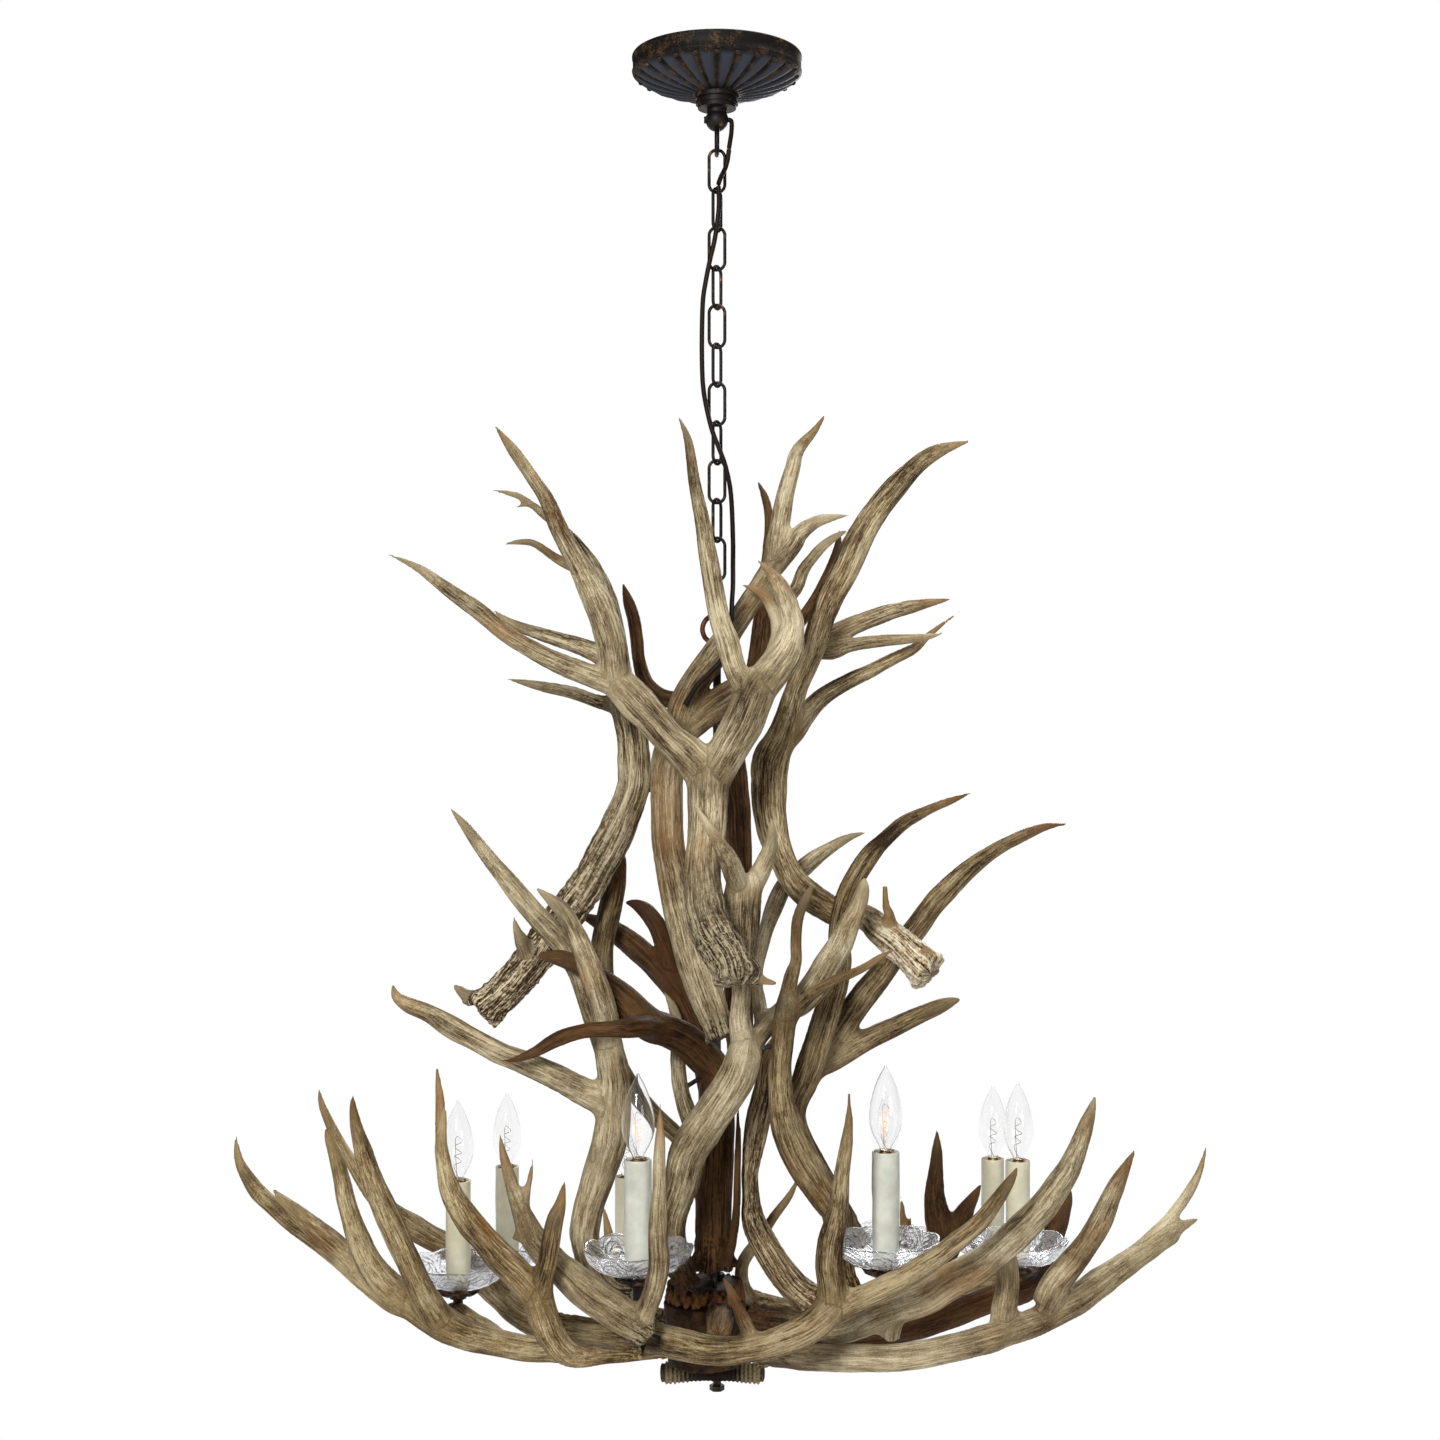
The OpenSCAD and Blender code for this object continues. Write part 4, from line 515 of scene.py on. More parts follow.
# Antlers on the front drawing, the same runs as in the part's source: [across, depth, down, radius]
antlerRuns = {
    "crown_front": [
        [[738, -235, 980, 23], [734, -228, 966, 23], [720, -206, 946, 22.5], [708, -182, 920, 22],
         [703, -158, 888, 20], [703, -140, 860, 19], [707, -124, 830, 20], [708, -114, 800, 21],
         [708, -108, 778, 22]],
        [[708, -108, 778, 20], [690, -106, 757, 20], [670, -104, 738, 18.5], [652, -103, 718, 18],
         [635, -102, 700, 19], [622, -102, 686, 18]],
        [[622, -102, 690, 15], [615, -103, 672, 16], [611, -105, 640, 16], [597, -109, 600, 15],
         [576, -113, 560, 11], [560, -117, 530, 10], [547, -121, 500, 8], [534, -123, 480, 7.5],
         [513, -126, 450, 6], [495, -128, 426, 1.2]],
        [[612, -103, 684, 13], [578, -106, 671, 12], [550, -110, 659, 10.5], [520, -114, 643, 9],
         [500, -116, 629, 9], [480, -118, 612, 9], [450, -120, 591, 7.5], [420, -122, 569, 4.5],
         [388, -124, 554, 1]],
        [[714, -109, 775, 20], [728, -108, 750, 20], [742, -106, 725, 21], [752, -104, 700, 21],
         [760, -102, 683, 19]],
        [[752, -104, 700, 15], [738, -106, 675, 13], [732, -107, 660, 12.5], [727, -108, 640, 12],
         [720, -109, 620, 11], [714, -110, 590, 10.5], [709, -110, 560, 10], [702, -111, 520, 8],
         [694, -113, 480, 6.5], [688, -115, 440, 4.5], [678, -117, 416, 1]],
        [[762, -102, 684, 19], [775, -101, 668, 18.5], [787, -100, 650, 16], [792, -99, 630, 13],
         [792, -98, 620, 12], [786, -96, 600, 11], [775, -94, 578, 7], [757, -92, 560, 1.2]],
        [[770, -98, 662, 10], [777, -88, 640, 8], [776, -80, 620, 6.5], [768, -76, 601, 6],
         [757, -74, 591, 4.5], [741, -73, 584, 1]],
        [[742, -236, 976, 9], [760, -236, 980, 6], [777, -235, 984, 2]]],
    "crown_left": [
        [[481, -44, 1012, 21], [495, -40, 1000, 20.5], [510, -35, 985, 20], [527, -28, 966, 20],
         [541, -22, 948, 20], [555, -18, 928, 20], [570, -15, 908, 19.5], [585, -12, 888, 19],
         [597, -10, 868, 19], [608, -8, 848, 19], [620, -4, 822, 18.5], [633, 0, 790, 17.5],
         [634, 4, 765, 17], [632, 8, 735, 16.5], [624, 10, 700, 15.5], [618, 12, 672, 15]],
        [[619, 12, 674, 14], [615, 14, 650, 14], [608, 16, 610, 13], [595, 18, 575, 11],
         [575, 20, 545, 8.5], [558, 22, 526, 6], [545, 24, 515, 5], [520, 26, 497, 4], [492, 28, 490, 0.9]],
        [[530, 25, 503, 3.5], [521, 26, 506, 2.5], [513, 26, 509, 0.8]],
        [[572, 19, 565, 7], [556, 20, 558, 5], [535, 24, 544, 4], [520, 26, 542, 3.2], [504, 28, 544, 0.8]],
        [[617, 13, 665, 12], [590, 20, 650, 10], [560, 26, 640, 8], [530, 32, 631, 6.5], [510, 36, 623, 5],
         [493, 40, 610, 1]],
        [[624, 10, 706, 12], [600, 24, 702, 7.5], [570, 32, 692, 6.5], [540, 38, 686, 5.5],
         [507, 44, 679, 1]],
        [[528, -34, 960, 9], [522, -46, 942, 8], [517, -52, 930, 4.5], [513, -56, 915, 1]],
        [[473, -44, 1003, 9], [462, -46, 992, 5.5], [453, -47, 985, 1.5]],
        [[613, -10, 840, 7], [605, -16, 829, 4], [599, -18, 819, 0.8]]],
    "crown_right": [
        [[930, -62, 974, 20], [922, -57, 967, 19.5], [912, -52, 957, 18.5], [897, -44, 942, 17.5],
         [880, -34, 930, 15.5], [865, -24, 917, 13.5], [840, -17, 913, 14.5], [825, -13, 906, 15],
         [808, -9, 895, 15], [795, -5, 882, 14], [784, 0, 862, 13.5], [775, 5, 840, 15], [771, 8, 820, 17],
         [769, 10, 800, 18], [769, 12, 780, 18.5], [771, 14, 760, 19.5], [780, 16, 740, 16],
         [787, 18, 720, 14], [793, 20, 700, 12.5], [800, 20, 680, 12], [811, 20, 655, 12],
         [817, 20, 635, 13], [829, 18, 600, 14], [846, 15, 568, 15], [857, 12, 543, 14.5],
         [872, 8, 517, 13.5], [893, 4, 490, 12], [914, 0, 468, 10], [938, -4, 451, 7.5],
         [970, -8, 441, 1.2]],
        [[780, 15, 748, 12], [795, 24, 730, 12], [805, 34, 715, 11], [822, 46, 697, 9.5],
         [845, 58, 683, 8.5], [870, 68, 671, 7.5], [895, 76, 658, 6.5], [915, 82, 648, 5.5],
         [930, 86, 634, 3.4], [960, 90, 611, 0.8]],
        [[890, -44, 928, 9], [889, -48, 915, 6], [886, -50, 905, 4], [885, -51, 886, 2.5]],
        [[924, -64, 954, 6], [931, -66, 949, 3]]],
    "crown_back": [
        [[721, -62, 1038, 15], [717, -60, 1026, 15.5], [708, -56, 1000, 18], [698, -48, 970, 20],
         [690, -38, 940, 20], [682, -28, 910, 19], [675, -20, 880, 18], [669, -14, 850, 17],
         [667, -10, 820, 17], [667, -12, 790, 17], [668, -22, 760, 17], [675, -36, 737, 17]],
        [[675, -36, 740, 16], [680, -38, 715, 15], [688, -39, 695, 15], [698, -40, 678, 15],
         [712, -41, 658, 14], [728, -42, 635, 13], [742, -42, 615, 12], [762, -42, 585, 12],
         [775, -41, 562, 12]],
        [[773, -41, 566, 12], [779, -40, 530, 11], [784, -38, 500, 9.5], [792, -36, 470, 8],
         [798, -34, 450, 6.5], [815, -32, 430, 4], [827, -30, 412, 0.8]],
        [[774, -42, 568, 11], [792, -46, 546, 10], [800, -48, 533, 9], [816, -52, 522, 6.5],
         [830, -54, 518, 4.5], [850, -56, 515, 0.8]],
        [[762, -41, 592, 9], [780, -36, 599, 8], [795, -30, 590, 7], [804, -26, 569, 6.5],
         [820, -24, 549, 5.5], [835, -23, 537, 4], [850, -22, 529, 0.8]],
        [[675, -36, 738, 17], [695, -34, 722, 15.5], [712, -32, 708, 16], [728, -26, 697, 16],
         [748, -10, 684, 15], [770, 18, 671, 13], [790, 46, 658, 12], [812, 60, 645, 11.5],
         [840, 66, 632, 10.5], [865, 68, 621, 9.5], [890, 70, 612, 8.5], [915, 72, 606, 6.5],
         [940, 74, 601, 3], [952, 75, 599, 0.8]],
        [[812, 60, 651, 9.5], [832, 58, 651, 9], [850, 56, 645, 7.5], [880, 54, 641, 6.5],
         [920, 52, 638, 4.5], [944, 52, 633, 0.8]]],
    "crown_far": [
        [[742, 62, 1064, 14], [740, 64, 1040, 14.5], [738, 68, 980, 15], [739, 76, 900, 14],
         [738, 88, 820, 13.5], [734, 100, 770, 13], [727, 106, 730, 12.5]],
        [[728, 106, 734, 12], [714, 110, 712, 11], [690, 114, 702, 10], [664, 118, 698, 9],
         [647, 120, 684, 8], [639, 122, 660, 7], [637, 124, 640, 7], [634, 126, 620, 7],
         [628, 128, 600, 5.5], [623, 130, 583, 1]],
        [[728, 106, 732, 12], [746, 110, 700, 12], [756, 114, 670, 11.5], [761, 118, 640, 11],
         [764, 122, 610, 10], [767, 128, 570, 7.5], [769, 132, 530, 5], [768, 134, 510, 4.5],
         [764, 136, 495, 3.8], [757, 138, 480, 1]],
        [[756, 114, 672, 9], [780, 112, 645, 8], [798, 110, 624, 7], [815, 108, 600, 6],
         [830, 106, 570, 5.5], [838, 104, 545, 4], [839, 103, 529, 1]]],
    "mid_palm": [
        [[690, -92, 1288, 13], [680, -88, 1268, 14.5], [672, -86, 1240, 15.5], [671, -90, 1215, 17],
         [682, -98, 1180, 19], [690, -106, 1150, 20], [705, -114, 1125, 20], [722, -122, 1100, 19.5],
         [738, -128, 1075, 19.5], [746, -132, 1050, 18]],
        [[746, -132, 1052, 14], [740, -134, 1020, 11.5], [741, -136, 993, 10.5], [742, -137, 960, 14],
         [742, -138, 930, 18], [742, -140, 905, 20], [744, -141, 882, 19]],
        [[738, -149, 884, 12], [729, -166, 861, 11], [717, -165, 840, 7], [703, -158, 818, 4],
         [691, -152, 798, 1]],
        [[752, -141, 886, 12], [760, -141, 872, 11], [768, -142, 855, 9], [772, -143, 835, 6],
         [771, -144, 817, 1.2]],
        [[748, -130, 1050, 13], [760, -115, 1033, 11.5], [775, -100, 1018, 11.5], [790, -92, 1008, 13],
         [803, -90, 1000, 14], [815, -88, 985, 14.5], [826, -86, 968, 14.5], [838, -84, 948, 14],
         [847, -84, 928, 12], [857, -84, 908, 9.5], [863, -84, 890, 7], [864, -84, 878, 2]],
        [[762, -112, 1030, 9], [761, -92, 1014, 8], [759, -74, 1000, 7], [757, -56, 985, 6.5],
         [758, -38, 965, 6.5], [762, -20, 946, 7], [766, -6, 930, 8], [775, 10, 905, 9],
         [785, 26, 885, 9.5], [803, 38, 868, 9.5], [818, 42, 856, 8], [835, 46, 845, 6], [850, 50, 837, 4],
         [867, 52, 832, 1]],
        [[697, -100, 1140, 10], [690, -78, 1120, 9.5], [681, -52, 1090, 8.5], [678, -24, 1060, 8],
         [678, -6, 1030, 7], [673, 2, 1008, 5], [664, 6, 992, 1]]],
    "mid_front": [
        [[850, -94, 1292, 13], [843, -90, 1270, 14], [838, -91, 1245, 15], [838, -96, 1215, 16],
         [825, -102, 1195, 17], [805, -112, 1165, 18.5], [790, -119, 1135, 17.5], [782, -124, 1105, 14],
         [780, -126, 1075, 12], [782, -127, 1045, 12], [785, -127, 1020, 12.5], [786, -126, 1000, 10.5]],
        [[786, -126, 1002, 9.5], [791, -122, 978, 8], [796, -120, 960, 6.5], [796, -118, 940, 6],
         [798, -116, 918, 6], [806, -114, 898, 5], [814, -112, 883, 1]],
        [[785, -127, 1022, 11], [793, -126, 1014, 9], [805, -125, 1000, 7], [820, -124, 989, 6],
         [835, -123, 980, 5.5], [850, -122, 974, 5], [865, -122, 967, 4.5], [880, -122, 957, 3.5],
         [895, -121, 949, 1]]],
    "mid_right": [
        [[860, -46, 1246, 13], [848, -53, 1226, 13], [836, -61, 1206, 13], [820, -74, 1182, 13],
         [808, -78, 1160, 13], [798, -79, 1138, 13], [793, -79, 1115, 13], [797, -78, 1098, 13.5],
         [804, -75, 1083, 14], [812, -70, 1060, 14.5], [820, -64, 1035, 14], [828, -58, 1010, 13.5],
         [836, -54, 985, 12], [841, -51, 960, 11.5], [838, -50, 935, 10.5], [840, -50, 915, 10],
         [846, -50, 897, 11], [855, -50, 878, 11], [868, -50, 857, 10.2], [885, -50, 839, 8.5],
         [905, -49, 822, 7.5], [928, -48, 810, 5.5], [950, -47, 801, 4], [971, -46, 793, 1]]],
    "mid_long": [
        [[842, -14, 1222, 12], [832, -26, 1200, 13], [820, -38, 1178, 13.5], [810, -44, 1160, 13.5],
         [800, -46, 1140, 13.5], [793, -46, 1118, 13.5], [796, -44, 1098, 14], [806, -40, 1078, 14],
         [818, -36, 1060, 14.5], [830, -30, 1044, 15], [840, -26, 1030, 14], [852, -24, 1012, 14],
         [865, -22, 994, 13.5], [878, -17, 978, 13], [893, -12, 958, 12], [914, -9, 931, 12],
         [932, -9, 906, 12], [950, -11, 887, 11], [970, -9, 868, 9.5], [995, -7, 850, 7.5],
         [1020, -5, 837, 6.5], [1045, -3, 827, 4], [1068, -2, 824, 1]],
        [[820, -36, 1064, 13.5], [835, -34, 1058, 13], [855, -32, 1046, 12], [878, -30, 1034, 11],
         [900, -28, 1024, 10], [922, -26, 1014, 9], [945, -25, 1004, 7], [960, -24, 999, 2]]],
    "mid_left": [
        [[626, -62, 1288, 15.5], [608, -70, 1284, 16], [594, -78, 1268, 15.5], [585, -84, 1240, 15],
         [587, -86, 1215, 15.5], [594, -86, 1190, 16], [602, -86, 1165, 18], [610, -88, 1140, 18],
         [613, -90, 1115, 18], [614, -95, 1080, 17], [611, -102, 1060, 16], [608, -106, 1040, 15]],
        [[612, -90, 1110, 17], [600, -92, 1099, 16], [575, -97, 1087, 14], [550, -101, 1074, 13],
         [525, -104, 1063, 12], [500, -107, 1053, 11.5], [475, -109, 1040, 11.5], [450, -111, 1026, 11.5],
         [428, -113, 1013, 9.5], [408, -114, 1005, 8], [396, -115, 996, 5], [393, -115, 985, 1.5]],
        [[608, -106, 1042, 15], [605, -113, 1015, 14], [598, -120, 990, 13], [590, -122, 968, 12],
         [582, -123, 948, 11], [573, -124, 928, 10], [563, -125, 911, 9], [550, -125, 899, 6],
         [536, -125, 888, 1.5]],
        [[606, -100, 1048, 13], [597, -86, 1025, 12], [590, -72, 1005, 11.5], [580, -58, 975, 12],
         [568, -56, 952, 12.5], [558, -56, 938, 12.5], [540, -57, 919, 12], [520, -58, 896, 11],
         [500, -58, 872, 9.5], [482, -59, 849, 7.5], [465, -60, 826, 5], [450, -60, 808, 1]],
        [[600, -92, 1172, 8], [594, -98, 1157, 4], [592, -100, 1143, 1]]],
    "trunk": [
        [[714, -28, 1268, 22], [714, -28, 1250, 20], [714, -28, 1200, 19], [716, -28, 1165, 18.5],
         [717, -29, 1130, 18.5], [716, -30, 1100, 18], [713, -32, 1070, 17.5], [701, -38, 1055, 18],
         [685, -48, 1040, 17.5], [668, -62, 1031, 17], [652, -76, 1026, 17.5], [638, -86, 1016, 18]],
        [[654, -84, 1027, 13], [640, -115, 1027, 11.5], [628, -132, 1028, 10.5], [611, -138, 1029, 9],
         [585, -139, 1031, 8], [560, -139, 1038, 8], [537, -137, 1051, 6], [517, -135, 1059, 3.5],
         [502, -134, 1061, 1]],
        [[640, -86, 1018, 18], [622, -88, 1000, 17], [605, -88, 985, 14.5], [585, -88, 968, 11],
         [572, -87, 962, 10], [555, -86, 957, 7.5], [538, -85, 956, 2]],
        [[708, -30, 1198, 9], [697, -32, 1193, 6], [690, -33, 1190, 2.5]],
        [[724, -44, 1258, 8], [731, -56, 1246, 5.5], [736, -66, 1215, 4.5], [737, -68, 1180, 4],
         [738, -68, 1140, 3.5], [738, -66, 1106, 1.2]]],
    "mid_back": [
        [[714, 50, 1238, 16], [715, 48, 1200, 14.5], [716, 45, 1150, 13.5], [713, 41, 1100, 13.5],
         [705, 35, 1060, 14], [697, 29, 1035, 14], [690, 26, 1015, 14], [680, 26, 995, 14],
         [665, 32, 975, 14], [645, 44, 955, 13], [622, 54, 937, 12], [600, 58, 923, 8],
         [580, 60, 915, 2.5]],
        [[672, 30, 982, 11], [668, 30, 958, 10], [663, 32, 942, 10], [657, 34, 926, 10], [648, 36, 913, 9],
         [637, 38, 905, 6], [625, 40, 902, 1.5]]],
    "mid_slim": [
        [[690, -16, 1150, 8], [675, -20, 1134, 9], [655, -22, 1115, 9], [636, -22, 1094, 10],
         [618, -16, 1066, 11], [609, -8, 1030, 12], [604, 0, 1000, 12], [602, 10, 975, 12],
         [602, 18, 950, 12], [605, 22, 930, 12], [611, 24, 905, 12], [616, 26, 882, 11], [620, 28, 862, 7],
         [622, 30, 850, 2]]],
    "mid_dark": [
        [[817, -76, 1303, 17], [806, -74, 1297, 16], [792, -70, 1285, 15.5], [775, -64, 1262, 15],
         [760, -56, 1237, 14], [753, -50, 1218, 12], [751, -48, 1200, 9.5], [750, -48, 1175, 9],
         [753, -50, 1150, 11], [758, -54, 1120, 13], [765, -58, 1090, 12], [768, -60, 1060, 11.5],
         [775, -58, 1046, 9], [783, -54, 1034, 6], [790, -50, 1026, 2]]],
    "bowl_front": [
        [[556, -118, 1326, 14], [575, -124, 1329, 13.5], [600, -136, 1332, 13], [625, -148, 1334, 14],
         [645, -160, 1336, 15.5], [665, -176, 1341, 16], [685, -194, 1345, 16], [705, -206, 1350, 15],
         [725, -214, 1351, 14.5], [745, -218, 1349, 14], [770, -220, 1344, 14.5], [795, -220, 1335, 16],
         [815, -218, 1323, 17], [832, -216, 1308, 17]],
        [[834, -216, 1306, 15.5], [832, -216, 1282, 15], [829, -216, 1262, 14.5], [831, -216, 1240, 13.5],
         [836, -216, 1220, 12], [839, -216, 1200, 10.5], [841, -216, 1180, 8.8], [844, -216, 1160, 7.8],
         [847, -216, 1140, 6.2], [849, -215, 1118, 4], [849, -214, 1093, 1]],
        [[836, -216, 1308, 15], [855, -217, 1300, 12.5], [870, -218, 1294, 12], [900, -218, 1280, 12],
         [920, -218, 1268, 11.5], [940, -218, 1255, 10.5], [960, -217, 1239, 10], [980, -216, 1222, 9],
         [1000, -215, 1196, 7.5], [1012, -214, 1178, 4.5], [1018, -213, 1166, 1.2]],
        [[752, -217, 1340, 9], [744, -214, 1322, 7.5], [737, -210, 1306, 6], [730, -206, 1290, 4.5],
         [723, -204, 1277, 1.2]]],
    "bowl_front_left": [
        [[649, -206, 1334, 15], [635, -208, 1324, 18], [615, -208, 1311, 19], [590, -206, 1294, 18.5],
         [565, -204, 1272, 16.5], [548, -203, 1256, 15], [533, -202, 1238, 14], [524, -202, 1218, 11.5],
         [517, -202, 1200, 8.5], [511, -202, 1182, 7], [506, -202, 1165, 5.5], [502, -202, 1148, 3.5],
         [500, -202, 1133, 1]],
        [[640, -210, 1324, 13], [645, -212, 1312, 11.5], [650, -214, 1300, 11.3], [656, -218, 1282, 11.3],
         [659, -220, 1262, 11], [658, -221, 1240, 10.3], [658, -221, 1215, 9.5], [659, -221, 1190, 8.2],
         [659, -221, 1165, 7], [660, -221, 1135, 5], [660, -221, 1103, 0.9]],
        [[523, -202, 1210, 7], [528, -203, 1187, 4], [531, -203, 1172, 2.5], [533, -203, 1158, 0.8]],
        [[526, -202, 1230, 9], [518, -202, 1236, 6], [512, -202, 1240, 3]]],
    "bowl_left_fork": [
        [[641, -186, 1354, 6.5], [620, -192, 1355, 8], [600, -200, 1356, 9], [578, -210, 1356, 12],
         [562, -218, 1349, 14.5], [550, -224, 1333, 15.5], [542, -228, 1312, 16.5], [536, -230, 1292, 17]],
        [[536, -230, 1294, 16.5], [517, -232, 1273, 16], [500, -233, 1257, 15.5], [485, -234, 1240, 14.5],
         [468, -235, 1220, 14], [455, -235, 1200, 12], [447, -235, 1180, 10], [443, -235, 1160, 8.5],
         [441, -235, 1140, 6.5], [443, -234, 1118, 4], [445, -234, 1104, 1]],
        [[538, -231, 1302, 14], [543, -234, 1280, 12], [548, -236, 1260, 10.5], [551, -237, 1240, 10],
         [555, -238, 1220, 9], [560, -238, 1205, 6.5], [563, -238, 1190, 3.5], [565, -238, 1181, 1.2]],
        [[444, -230, 1166, 6], [441, -220, 1140, 6], [440, -214, 1115, 5], [440, -212, 1100, 5],
         [438, -210, 1080, 3], [437, -209, 1063, 0.8]]],
    "bowl_left_long": [
        [[665, -62, 1340, 16], [640, -74, 1345, 15.5], [615, -84, 1348, 14.5], [590, -92, 1349, 13.5],
         [560, -98, 1350, 13], [530, -100, 1349, 13], [500, -98, 1343, 14], [470, -94, 1336, 15.5],
         [448, -90, 1326, 17.5], [430, -88, 1315, 18], [408, -87, 1300, 17]],
        [[412, -87, 1303, 16.5], [395, -86, 1300, 14.5], [375, -82, 1285, 14], [350, -76, 1265, 12],
         [330, -72, 1250, 10.5], [310, -68, 1236, 9.5], [290, -64, 1222, 9], [272, -60, 1205, 9],
         [258, -57, 1192, 8.5], [247, -54, 1176, 6.8], [240, -52, 1163, 5], [237, -51, 1150, 3.5],
         [236, -50, 1136, 1]],
        [[352, -80, 1262, 13], [343, -84, 1252, 12], [325, -90, 1236, 11.5], [308, -94, 1222, 9.5],
         [292, -96, 1208, 7], [280, -97, 1197, 4.2], [272, -97, 1188, 1]],
        [[404, -88, 1300, 16], [382, -92, 1280, 15], [368, -96, 1260, 13.5], [359, -98, 1240, 12],
         [352, -100, 1220, 10.5], [346, -101, 1200, 10], [342, -102, 1180, 8.8], [336, -102, 1158, 7.2],
         [329, -102, 1138, 5], [326, -102, 1128, 1.5]],
        [[440, -92, 1319, 16], [428, -104, 1302, 14.5], [420, -110, 1288, 14], [412, -114, 1270, 13.2],
         [403, -117, 1250, 13.2], [394, -119, 1230, 13.2], [385, -120, 1210, 13], [376, -121, 1190, 12],
         [369, -121, 1170, 11], [363, -121, 1150, 9.5], [357, -121, 1130, 7], [353, -121, 1108, 4.2],
         [353, -121, 1095, 1]],
        [[500, -96, 1342, 12], [484, -66, 1332, 13], [470, -36, 1324, 13], [458, -6, 1316, 13],
         [450, 12, 1314, 11]]],
    "bowl_back_left": [
        [[660, 36, 1322, 15], [630, 60, 1330, 15], [600, 80, 1334, 15], [575, 98, 1334, 15],
         [552, 118, 1328, 15], [532, 140, 1320, 15.5], [516, 162, 1308, 16], [504, 174, 1298, 14.5],
         [490, 156, 1287, 13.5], [476, 124, 1271, 12.5], [462, 110, 1258, 12.5], [446, 103, 1246, 12.5],
         [430, 100, 1237, 12.5], [415, 96, 1228, 12.5], [395, 88, 1215, 11], [375, 80, 1197, 9],
         [360, 74, 1177, 7], [349, 70, 1158, 6.5], [338, 66, 1140, 6], [328, 63, 1120, 5],
         [321, 61, 1102, 3.5], [319, 60, 1088, 1]]],
    "bowl_front_right": [
        [[754, -60, 1320, 16], [775, -78, 1321, 15], [800, -98, 1324, 14], [820, -112, 1328, 13.5],
         [840, -124, 1330, 13.5], [858, -134, 1324, 15], [878, -142, 1314, 17], [900, -148, 1305, 18],
         [925, -152, 1297, 18], [950, -155, 1281, 17.5], [980, -157, 1265, 17], [1000, -158, 1249, 16],
         [1020, -157, 1231, 15.5], [1040, -155, 1210, 15], [1055, -152, 1190, 14],
         [1068, -149, 1170, 12.5], [1079, -146, 1145, 10], [1089, -143, 1117, 6.5],
         [1095, -141, 1096, 1.5]],
        [[893, -146, 1310, 14], [892, -144, 1323, 12], [889, -140, 1336, 11]]],
    "bowl_right_long": [
        [[760, -66, 1353, 14.5], [785, -92, 1354, 14], [805, -116, 1357, 13.5], [830, -140, 1358, 14],
         [860, -158, 1358, 14], [900, -168, 1357, 14], [940, -162, 1351, 14], [980, -144, 1341, 14.5],
         [1010, -128, 1331, 14.5], [1040, -112, 1320, 14.5], [1070, -98, 1304, 15], [1100, -84, 1283, 15],
         [1120, -76, 1268, 13], [1150, -66, 1248, 12], [1165, -62, 1237, 10.5], [1180, -58, 1227, 6.5],
         [1198, -54, 1219, 1.5]],
        [[1045, -110, 1306, 14.5], [1052, -108, 1290, 15], [1060, -107, 1278, 14.5],
         [1075, -105, 1260, 14], [1089, -104, 1240, 12.8], [1101, -103, 1220, 12],
         [1110, -102, 1200, 10.5], [1119, -101, 1180, 8], [1128, -100, 1163, 4.5], [1136, -99, 1148, 0.9]],
        [[1158, -64, 1246, 7], [1173, -62, 1243, 3.5], [1182, -61, 1238, 1]],
        [[1135, -70, 1253, 8], [1155, -62, 1232, 6.5], [1170, -56, 1218, 6], [1180, -52, 1205, 6],
         [1190, -48, 1190, 5.2], [1198, -45, 1175, 4], [1203, -43, 1160, 2.5], [1206, -42, 1147, 0.8]],
        [[1002, -128, 1328, 13], [1004, -120, 1310, 13.5], [1007, -114, 1292, 12.5],
         [1008, -110, 1275, 12], [1006, -106, 1257, 11], [1003, -102, 1240, 7], [1001, -100, 1230, 2]]],
    "bowl_right_dark": [
        [[762, 10, 1342, 14], [800, 24, 1344, 13], [840, 36, 1342, 12], [880, 46, 1337, 12],
         [915, 54, 1328, 12], [945, 58, 1318, 13], [975, 58, 1306, 13.5], [1000, 58, 1296, 13.5],
         [1022, 62, 1291, 13], [1038, 94, 1273, 12.5], [1047, 126, 1253, 12], [1055, 142, 1232, 11],
         [1062, 146, 1212, 9], [1067, 148, 1198, 6], [1069, 149, 1183, 1]]],
    "bowl_right_palm": [
        [[766, 46, 1338, 12.5], [795, 63, 1335, 14], [825, 80, 1326, 14], [855, 92, 1316, 14],
         [885, 100, 1302, 14], [912, 106, 1286, 14], [932, 110, 1268, 15], [944, 112, 1250, 16],
         [948, 113, 1235, 16]],
        [[944, 112, 1240, 15], [938, 112, 1218, 14], [935, 112, 1200, 11.5], [935, 112, 1185, 9.5],
         [936, 112, 1168, 7.5], [937, 112, 1150, 5.5], [937, 112, 1130, 1.2]],
        [[950, 113, 1240, 14], [960, 114, 1222, 12], [967, 115, 1208, 8.5], [975, 116, 1195, 5],
         [981, 117, 1184, 1.2]]],
    "bowl_back_right": [
        [[752, 60, 1306, 15], [780, 92, 1312, 15], [810, 124, 1316, 15], [840, 148, 1314, 15],
         [868, 166, 1308, 15], [900, 178, 1300, 14.5], [930, 188, 1293, 14], [960, 196, 1288, 13],
         [985, 200, 1283, 12.5], [1003, 198, 1281, 11]],
        [[868, 168, 1307, 13], [885, 205, 1298, 13], [893, 235, 1289, 12], [890, 262, 1281, 11.5],
         [886, 282, 1276, 9]],
        [[895, 178, 1301, 9], [903, 170, 1275, 7], [905, 165, 1250, 5.5], [904, 162, 1230, 4.5],
         [903, 160, 1215, 3.5], [901, 158, 1196, 0.8]],
        [[905, 164, 1240, 4], [909, 164, 1228, 3.5], [911, 164, 1215, 0.8]],
        [[760, 68, 1306, 9], [744, 40, 1290, 8.5], [742, 16, 1266, 7], [752, 10, 1248, 6.5],
         [765, 8, 1230, 5.8], [775, 6, 1215, 5], [790, 4, 1195, 3.8], [800, 2, 1174, 1]]],
    "bowl_back": [
